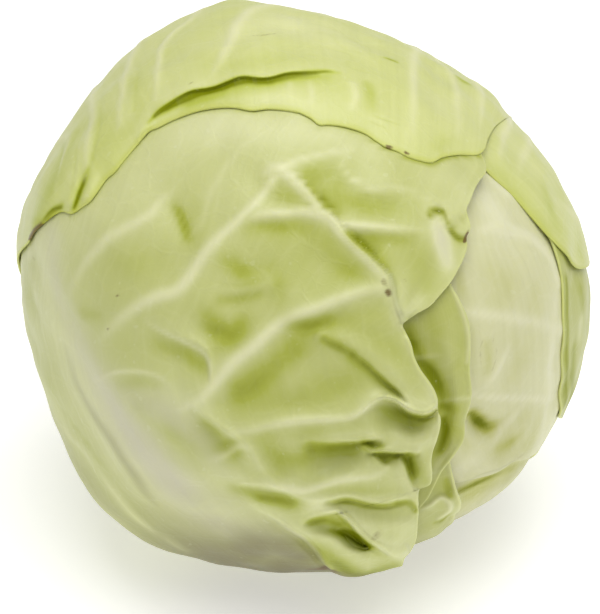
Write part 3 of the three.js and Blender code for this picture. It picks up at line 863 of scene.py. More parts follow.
middleLeaf = {
    "node": "leaf_middle",
    "slot": "green_leaf",
    "level": 4,
    "rows": [(1, 240)],
    "leftColumns": [(1, 30)],
    "rightColumns": [(1, 80)],
    "outline": {
        "base": (-104, -93, -84),
        "left": route([(-104, -60)], [(340, 540), (350, 470), (360, 390), (372, 310), (385, 240)], 4),
        "midrib": route([(-93, -62)], [(385, 535), (402, 465), (415, 390), (412, 310), (415, 235)], 4),
        "right": route([(-85, -66)], [(412, 522), (420, 507), (428, 498), (434, 486), (441, 473),
            (448, 464),
            (458, 448), (463, 438), (469, 412), (473, 395), (470, 372), (471, 350), (468, 320),
            (459, 301), (449, 282), (440, 235)], 4),
    },
    "greenness": 0.8,
    "ribs": drawn(4,
        ([(414, 358), (424, 357), (446, 354)], [0.35, 0.3, 0.1], 0.8),
        ([(438, 401), (452, 400), (470, 399)], [0.1, 0.25, 0.4], 0.7),
        ([(450, 285), (458, 303), (465, 322), (469, 342), (467, 362)], [0.4, 0.5, 0.5, 0.4], 0.8),
        ([(440, 330), (446, 345), (448, 365)], [0, 0.15, 0.1], 2.4),
    ),
    "patches": drawn(4,
        # painted shade in the groove beside the front leaf
        ([(408, 332), (412, 345), (417, 354)], [0.6, 1.0, 0.6], 2.2),
        ([(420, 362), (430, 372), (438, 386), (442, 396)], [0.8, 1.1, 1.0, 0.5], 2.0),
        ([(442, 406), (450, 408), (458, 410)], [0.6, 0.5, 0.2], 1.6),
        ([(444, 420), (446, 432), (440, 450)], [0.7, 0.7, 0.5], 1.4),
        ([(428, 320), (434, 335), (440, 350)], [0.1, 0.15, 0.1], 3),
        ([(450, 340), (458, 375), (459, 405), (452, 430)], [0, 0, 0.05, 0.25], 4),
        ([(452, 448), (440, 462), (432, 478)], [-0.2, -0.3, -0.2], 1.4),
    ),
    "sheet": stretchedSheet(
        [
            [(449, 282, 0.8), (458, 303, 1.2), (467, 320, 1.6), (470, 348, 2.0), (469, 372, 2.4),
                (472, 395, 3.0), (468, 412, 3.2),
                (462, 438, 3.0), (457, 448, 2.8), (447, 464, 2.4), (440, 473, 1.8), (434, 486, 1.4),
                (428, 498, 1.0), (420, 507, 0.8)],
        ],
        [
            [(440, 300, 0.6), (450, 330, 1.4), (452, 360, 2.0)],
            [(414, 342, -1.4), (420, 352, -1.0)],
            [(424, 366, -1.4), (432, 376, -1.4), (440, 390, -1.2), (446, 408, -1.0), (445, 430, -0.8),
                (436, 455, -0.8)],
            [(456, 372, 2.4), (458, 395, 2.6), (455, 420, 2.4), (448, 440, 1.8)],
        ],
        12.0,
    ),
}
buildLeaf("middleLeaf", middleLeaf, greenSkin)

farRightUnderLeaf = {
    "node": "leaf_far_right_under",
    "slot": "green_leaf",
    "level": 3,
    "rows": [(1, 170)],
    "leftColumns": [(1, 60)],
    "rightColumns": [(1, 40)],
    "outline": {
        "base": (14, 42, 66),
        "left": route([(14, -60), (9, -42), (4, -32)], [(562, 416), (563, 380), (564, 352), (564, 327),
            (564, 295), (561, 269), (550, 236), (530, 205)], 3),
        "midrib": around([(34, -50), (24, -25), (20, 0), (17, 25), (15, 42)]),
        "right": around([(58, -40), (52, -10), (48, 20), (35, 45)]),
    },
    "greenness": 0.75,
    "patches": drawn(3,
        # painted shadow along its left margin
        ([(567, 280), (567, 320), (567, 360), (564, 405)], [0.6, 0.5, 0.6, 0.6], 1.4),
        ([(580, 290), (582, 305)], [0.3, 0.3], 2.6),
        ([(580, 322), (579, 336)], [-0.4, -0.3], 2.0),
        ([(574, 350), (572, 375), (568, 400)], [0.5, 0.6, 0.6], 3.0),
        ([(574, 272), (573, 282)], [-0.2, -0.2], 1.4),
    ),
    "ribs": [
        stroke(around([(44, -70), (34, -50), (24, -25), (20, 0)]), [1, 0.9, 0.7, 0.4], [4, 3]),
        stroke(around([(30, -40), (12, -22), (4, -8)]), [0.2, 0.6, 0.2], 1.6),
        stroke(around([(24, -24), (10, -6), (4, 8)]), [0.2, 0.6, 0.2], 1.6),
        stroke(around([(30, -36), (42, -18), (48, -4)]), [0.2, 0.6, 0.2], 1.6),
    ],
    "spots": drawn(3, ([(569, 401), (567, 407)], [0.9, 0.8], 1.3)),
    "sheet": stretchedSheet(
        [
            [(563, 275, -0.7), (565, 300, -0.6), (566, 330, -0.7), (565, 360, -0.6), (564, 385, -0.7),
                (562, 414, -0.6)],
        ],
        [
            [(574, 290, 0.0), (572, 320, -0.3), (573, 350, 0.0), (568, 390, 0.0)],
            [(587, 288, 1.0), (586, 330, 0.2), (585, 342, 1.2), (581, 356, 0.2), (579, 366, 1.0),
                (576, 380, 0.2), (573, 398, 1.0),
                (566, 412, 0.6)],
        ],
        12.0,
    ),
}
buildLeaf("farRightUnderLeaf", farRightUnderLeaf, greenSkin)

farRightLeaf = {
    "node": "leaf_far_right",
    "slot": "pale_leaf",
    "level": 4,
    "rows": [(1, 190)],
    "leftColumns": [(1, 90)],
    "rightColumns": [(1, 60)],
    "outline": {
        "base": (20, 45, 78),
        "left": route([(24, -50), (18, -20), (9, 2)], [(587, 266), (580, 268), (568, 255), (558, 243),
            (545, 226), (520, 193), (500, 175), (480, 158), (470, 146)], 4),
        "midrib": around([(42, -45), (38, -15), (33, 15), (30, 38), (28, 55)]),
        "right": around([(84, -40), (86, -10), (84, 20), (75, 45), (60, 62)]),
        "leftTip": seen([(500, 90)], level(4)),
        "rightTip": around([(45, 62)]),
    },
    "greenness": 0.45,
    "patches": drawn(4,
        ([(545, 190), (550, 205), (556, 222)], [0.3, 0.45, 0.2], 3.4),
        ([(578, 235), (580, 252)], [0.2, 0.25], 3),
        ([(495, 165), (525, 195), (550, 230)], [0.15, 0.2, 0.2], 2),
        ([(512, 140), (535, 170), (555, 205)], [-0.15, -0.2, -0.15], 5),
    ),
    "ribs": [
        stroke(around([(44, -70), (42, -45), (38, -15), (33, 15), (31, 40)]), [1, 1, 0.9, 0.7, 0.3],
            [5, 4, 3, 2]),
        stroke(route([(42, -40), (30, -10)], [(572, 215), (556, 200)], 4), [0.3, 0.5, 0.1], [2.0, 1.4]),
        stroke(route([(38, -15), (24, 12)], [(530, 138), (524, 155), (518, 175)], 4),
            [0.3, 0.6, 0.6, 0.1],
            [2.0, 1.2]),
        stroke(route([(34, 10), (24, 32)], [(508, 115), (503, 135), (499, 156)], 4), [0.3, 0.6, 0.8, 0.3],
            [2.0, 1.2]),
        stroke(around([(42, -40), (55, -18), (70, 0), (84, 12)]), [0.3, 0.8, 0.5, 0.1], [2.2, 1.4]),
        stroke(around([(38, -12), (52, 8), (66, 24), (80, 34)]), [0.3, 0.8, 0.5, 0.1], [2.2, 1.4]),
        stroke(around([(42, -58), (58, -40), (74, -26), (86, -18)]), [0.3, 0.8, 0.5, 0.1], [2.2, 1.4]),
    ],
    "sheet": stretchedSheet(
        [
            [(481, 157, 0.0), (500, 175, 0.0), (520, 193, 0.0), (545, 226, -0.1), (558, 243, -0.1),
                (568, 255, 0.2), (579, 268, 0.4)],
        ],
        [
            [(505, 150, 0.5), (530, 185, 0.4), (555, 220, 0.4), (575, 245, 0.6)],
            [(541, 150, 0.2), (552, 172, 1.4), (556, 190, 0.2), (568, 212, 0.8), (580, 234, 1.6),
                (582, 250, 0.4)],
        ],
        14.0,
    ),
    "presses": [
        *drawn(4, ([(478, 156), (500, 175), (520, 193), (545, 226), (558, 243)],
            [1.2, 2.1, 2.1, 1.2, 0.4], 4.5)),
        stroke(joined(seen([(492, 134), (507, 117)], level(4)), around([(22, 33), (36, 16)])),
            [-0.5, -1.0, -0.9, 0], [4, 6]),
    ],
}
buildLeaf("farRightLeaf", farRightLeaf, topSkin)

topMargin = [(508, 116), (496, 126), (488, 139), (484, 150), (478, 154), (464, 153), (453, 154),
    (442, 157), (432, 162),
    (419, 160), (407, 156), (396, 150), (386, 146), (376, 139), (365, 132), (348, 127), (329, 124),
    (319, 124), (311, 118),
    (302, 113), (285, 110), (267, 107), (251, 109), (233, 107), (210, 108), (188, 113), (170, 120),
    (157, 127), (148, 131),
    (138, 142), (125, 158), (115, 171), (105, 179), (97, 190), (89, 201), (79, 208), (69, 213), (60, 211),
    (46, 220),
    (38, 228), (26, 243)]
frontLips = [
    # the long fold, from the margin up to where it starts under the top leaf
    *step([(402, 325, 7.0), (398, 312, 7.2), (394, 300, 7.6), (392, 287, 7.8), (389, 277, 7.6),
        (378, 265, 7.0), (362, 249, 6.0),
        (346, 233, 5.0), (333, 217, 4.2), (320, 203, 3.6), (307, 188, 2.8), (298, 179, 2.2),
        (279, 167, 1.4), (262, 158, 0.4)],
        [2.0, 3.2, 4.0, 5.0, 5.4, 5.0, 4.2, 3.0, 2.4, 2.2, 2.0, 1.2, 0.6, 0.2], 2.6),
    # free margin below the long fold
    [(408, 337, 7.4), (413, 351, 7.4), (420, 371, 8.0), (428, 382, 8.6), (434, 391, 9.0),
        (437, 400, 9.0)],
    [(438, 413, 8.6), (440, 424, 8.0), (439, 432, 8.0), (436, 441, 8.2)],
    # the arched pucker and the notch in the margin
    *step([(425.5, 216, 1.4), (429, 211.5, 1.9), (434, 208.5, 2.3), (439, 208, 2.4), (445, 211, 2.2),
        (447.5, 217, 2.0),
        (452, 229, 2.2), (460, 235.5, 2.3), (467, 233, 2.2)],
        [0.4, 1.4, 2.0, 2.2, 1.8, 1.2, 1.6, 1.6, 0.8], 3.2),
    *step([(455, 220, 1.9), (461, 216, 2.1), (467, 211.5, 2.3)], [1.0, 1.1, 1.0], 2.4),
    [(485, 166, 0.6), (478, 183, 1.2), (470, 201, 2.2)],
    [(468, 213, 1.9), (470, 221, 2.1), (470.5, 228, 2.2)],
    [(467, 250, 1.6), (464, 259, 1.6), (457, 271, 1.5), (449, 284, 1.6), (440, 295, 1.8), (430, 306, 1.8),
        (416, 314, 1.8),
        (409, 319, 1.4)],
    # the roll along the lower margin and the groove beside it
    *step([(318, 334, 2.6), (330, 340, 3.4), (343, 345.5, 3.8), (356, 353, 4.2), (368, 362, 4.8),
        (383, 376, 5.6), (399, 391, 6.8),
        (408, 401, 8.2)], [0.2, 1.8, 2.2, 1.6, 2.6, 3.0, 2.8, 0.8]),
    # lip of the first lobe
    *step([(240, 433, 1.6), (264, 427, 2.2), (288, 422, 3.0), (312, 420, 3.6), (336, 418.5, 4.4),
        (352, 417, 5.2), (364, 410.5, 6.4),
        (376, 401, 7.6), (384, 398, 8.4), (396, 401, 9.0), (407, 409, 9.6), (415, 412, 9.8),
        (423, 413, 9.8), (430, 410.5, 9.6),
        (436, 405, 9.2)], [0, 0.4, 0.6, 0.6, 0.6, 0.8, 2.0, 4.5, 6.5, 8.0, 8.4, 8.0, 7.4, 6.0, 3.0]),
    # upper and lower lip of the second lobe
    *step([(303, 439, 2.4), (324, 441, 3.8), (336, 441.5, 4.6), (352, 441, 5.6), (364, 440, 6.4),
        (372, 438.5, 7.0), (380, 437, 7.2)],
        [0.3, 3.2, 4.8, 5.4, 5.0, 3.6, 1.5]),
    *step([(363, 443.5, 3.6), (367, 447, 5.4), (372, 450.5, 7.0), (391, 451.5, 8.2), (405, 451.5, 8.4),
        (418, 451, 8.4)],
        [0.5, 2.5, 4.4, 5.4, 5.2, 3.2]),
    # the two cavities under it, with the crest of the third lobe between them
    *step([(388, 467.5, 6.8), (384, 465, 6.4), (378, 459, 5.8), (373, 454, 4.6)], [0.6, 1.8, 2.2, 1.0]),
    *step([(417, 504, 6.2), (417.5, 497, 6.8), (415, 490, 7.0), (410, 483, 7.2), (407, 474, 7.2),
        (404, 464, 6.8), (400, 457, 6.0)],
        [0.2, 0.6, 1.2, 2.4, 3.6, 3.8, 2.0]),
    # lower lip of the third lobe
    *step([(240, 483, 1.4), (264, 484.5, 2.2), (281, 488.5, 3.2), (296, 496, 4.0), (312, 500, 4.4),
        (332, 498.5, 5.2),
        (345, 496.5, 5.8), (354, 498, 6.4), (365, 501, 7.0), (374, 503, 7.4), (385, 503, 7.6),
        (398, 499.5, 7.4), (409, 498, 7.2),
        (414, 502, 6.6), (418, 508, 5.6)], [1.2, 2.0, 2.4, 2.2, 1.0, 2.6, 3.4, 3.4, 3.4, 3.4, 3.4, 2.8,
        2.0, 1.6, 1.2]),
    # rounded end of the bottom lobe
    [(335, 570, 1.4), (342, 573, 3.0), (350, 575, 3.8), (359, 573, 3.4), (368, 568, 2.8),
        (380, 564, 3.2)],
    # bottom flap, with the cavity to its left
    *step([(303, 521, 1.8), (312, 517, 2.6), (324, 514, 3.6), (337, 511, 4.8)], [0.2, 2.2, 3.2, 4.0]),
    *step([(337, 511, 4.8), (345, 517, 6.0), (352, 524, 7.0), (359, 533, 7.6), (366, 539, 7.8),
        (374, 544.5, 7.8),
        (385, 549, 7.4), (397, 550, 6.8), (406, 546, 6.2)],
        [4.0, 5.6, 6.6, 7.0, 6.4, 5.0, 3.4, 2.6, 1.6]),
    # outer margin of the bottom lobe
    *step([(262, 510, 0.6), (275, 519, 1.4), (290, 530, 2.8), (305, 541, 4.2), (315, 551, 4.6),
        (324, 560, 4.0), (332, 567, 2.0)],
        [0.4, 1.2, 2.8, 4.2, 4.8, 4.4, 2.4]),
    # edge of the dark panel on the lower left, and of the shallow terrace above it
    *step([(187, 400, 0.6), (200, 412, 1.4), (219, 426.5, 2.2), (234, 436, 2.6), (244, 443, 2.8),
        (250, 448, 2.8)],
        [0.3, 1.2, 1.8, 1.6, 0.8, 0.1], 3.0),
    [(253, 452, 2.7), (258, 461, 2.6), (264, 471, 2.5), (272, 481, 2.8), (281, 488, 3.2)],
    # floors of the hollows under the second lobe and in the bottom cavity
    [(366, 444, 4.0), (371, 446, 4.2), (377, 446, 4.6), (383, 446, 5.6)],
    [(380, 457, 4.4), (385, 462, 4.6), (390, 457, 4.4)],
    [(342, 530, -0.2), (350, 536, -0.6), (358, 542, -0.4), (366, 547, 0.6)],
    *step([(138, 313, 0.4), (163, 329, 1.0), (184, 339, 1.3), (197, 344, 1.5), (207, 354, 1.7),
        (210.5, 366, 1.7), (211, 382, 1.4)],
        [0.2, 0.6, 1.0, 1.4, 1.6, 1.5, 0.6]),
]
frontSwells = [
    # the rib that crosses the long fold, and the leaf above and below it
    [(343, 223, 3.4), (362, 225, 2.8), (386, 228, 2.4), (410, 229.5, 2.0), (424, 230, 1.8)],
    [(356, 238, 0.6), (366, 247, 0.6), (378, 256, 0.8)],
    [(385, 241, 1.0), (405, 241, 1.2)],
    [(250, 170, 0.0), (262, 190, 0.2), (285, 205, 0.4), (300, 225, 0.8)],
    [(325, 172, -0.2), (345, 190, -0.4), (370, 205, -0.4), (400, 208, 0.0)],
    [(345, 162, 0.8), (362, 182, 0.8), (382, 188, 1.0), (403, 190, 0.8)],
    [(401, 268, 1.4), (418, 288, 1.2)],
    [(431, 226, 1.6), (438, 240, 2.0), (446, 258, 1.6)],
    [(412, 300, 1.0), (425, 285, 1.0), (438, 268, 0.9)],
    [(455, 185, 0.8), (462, 175, 0.6), (470, 165, 0.5)],
    # panels between the ribs left of the long fold
    [(255, 225, -0.6), (280, 228, -0.4), (305, 232, 0.4)],
    [(225, 262, -0.6), (250, 270, -0.9), (280, 262, 0.0), (310, 258, 0.8), (335, 262, 1.8)],
    [(338, 276, 2.0), (352, 272, 3.0), (366, 276, 4.6)],
    [(225, 291, 0.6), (250, 290, 0.7), (272, 284, 1.2)],
    [(228, 302, -0.5), (250, 297, -0.6), (268, 291, 0.1)],
    [(205, 330, -0.9), (225, 334, -1.0), (245, 322, -0.6)],
    [(298, 330, 0.4), (318, 324, 0.6), (340, 314, 2.0)],
    [(335, 328, 2.4), (360, 325, 4.2), (385, 322, 6.0)],
    # ribs
    [(103, 334, 0.5), (119, 321, 0.8), (135, 308, 1.0), (156, 297, 1.1), (176, 291, 1.1), (188, 278, 1.1),
        (200, 260, 1.1),
        (219, 238, 1.1), (236, 223, 1.1), (252, 206, 1.1), (264, 192, 1.0), (274, 178, 1.2)],
    [(73, 292, 0.4), (87, 262, 0.7), (109, 238, 0.8), (132, 225, 0.8), (148, 216, 0.7), (161, 200, 0.4)],
    [(252, 217, 1.1), (289, 213, 1.8), (303, 212, 2.2), (325, 215, 3.6)],
    [(180, 407, 0.5), (200, 399, 1.0), (216, 382, 1.4), (235, 361, 1.7), (252, 348, 2.0), (271, 331, 2.3),
        (289, 318, 2.8),
        (315, 309, 3.6), (340, 299, 4.8), (362, 292, 6.0), (384, 288, 7.4)],
    [(150, 336, -0.3), (175, 352, -0.8), (196, 364, -0.6)],
    [(98, 379, 0.1), (116, 372, 0.6), (135, 371, 0.8), (156, 375, 0.8), (172, 387, 0.6), (184, 396, 0.5)],
    [(110, 388, 0.0), (140, 390, -0.2), (160, 398, -0.1)],
    [(174, 203, -0.8), (179, 213, -1.5), (184, 227, -1.6), (188, 238, -1.0)],
    # broad hollows of the lower left
    [(215, 405, -0.6), (245, 395, -1.0), (275, 372, -0.9), (300, 352, 0.2)],
    [(225, 420, 0.4), (255, 410, 0.2), (290, 405, 0.4), (325, 398, 1.2), (345, 392, 2.0)],
    [(264, 455, 0.6), (277, 464, -0.4), (290, 472, 0.2)],
    [(308, 451, -1.0), (325, 453, -1.6), (345, 453, -0.8), (358, 452, 0.6)],
    [(312, 464, -0.2), (330, 467, 0.6), (350, 465, 2.2)],
    [(200, 420, -0.2), (215, 440, -0.4), (238, 456, -0.2)],
    [(285, 484, 3.0), (300, 490, 3.8), (320, 485, 4.4), (339, 479, 5.4), (358, 477, 6.4), (375, 476, 7.0),
        (387, 472, 7.0)],
    [(352, 468, 3.6), (366, 463, 4.6), (376, 468, 6.2)],
    [(330, 490, 4.2), (355, 488, 5.4), (380, 489, 6.4), (400, 490, 7.0)],
    # faces of the roll and of the first lobe
    [(338, 334, 4.0), (356, 344, 4.8), (374, 352, 5.4), (390, 364, 6.2), (403, 378, 7.0),
        (418, 394, 7.8)],
    [(340, 364, 1.6), (358, 374, 2.6), (376, 388, 4.0), (388, 395, 5.4)],
    [(300, 405, 1.0), (330, 407, 2.2), (352, 402, 3.6)],
    # faces of the second and the third lobe
    [(384, 414, 2.2), (391, 424, 3.0), (398, 434, 6.4), (412, 441, 7.6), (428, 440, 8.0)],
    [(405, 424, 1.8), (416, 427, 3.0), (428, 425, 5.4)],
    [(366, 418, 5.4), (372, 428, 5.8), (376, 436, 6.6)],
    [(320, 431, 3.4), (345, 430, 4.6), (365, 428, 5.4)],
    [(409, 458, 2.8), (411, 466, 3.0), (413, 474, 3.6)],
    [(429, 450, 7.6), (425, 460, 6.8), (423, 472, 6.0), (423, 482, 5.2)],
    [(432, 460, 6.4), (431, 472, 5.6), (430, 481, 4.6)],
    [(393, 461, 5.0), (396, 458, 4.6)],
    # bottom flap and lobe
    [(357, 513, 4.6), (377, 524, 6.4), (396, 526, 7.0), (411, 522, 6.6)],
    [(318, 525, 0.6), (330, 526, 0.4), (341, 531, 0.0), (352, 538, -0.2), (364, 546, 1.4)],
    [(306, 534, 3.4), (318, 535, 4.2), (333, 540, 5.0), (347, 549, 5.4), (360, 556, 5.2), (374, 560, 4.6),
        (390, 558, 3.8)],
    [(270, 505, 0.2), (288, 508, 0.4), (305, 510, 1.6)],
    [(240, 510, 0.0), (258, 525, 0.0), (276, 545, 0.0)],
    [(396, 469, 6.6), (402, 481, 7.0)],
]

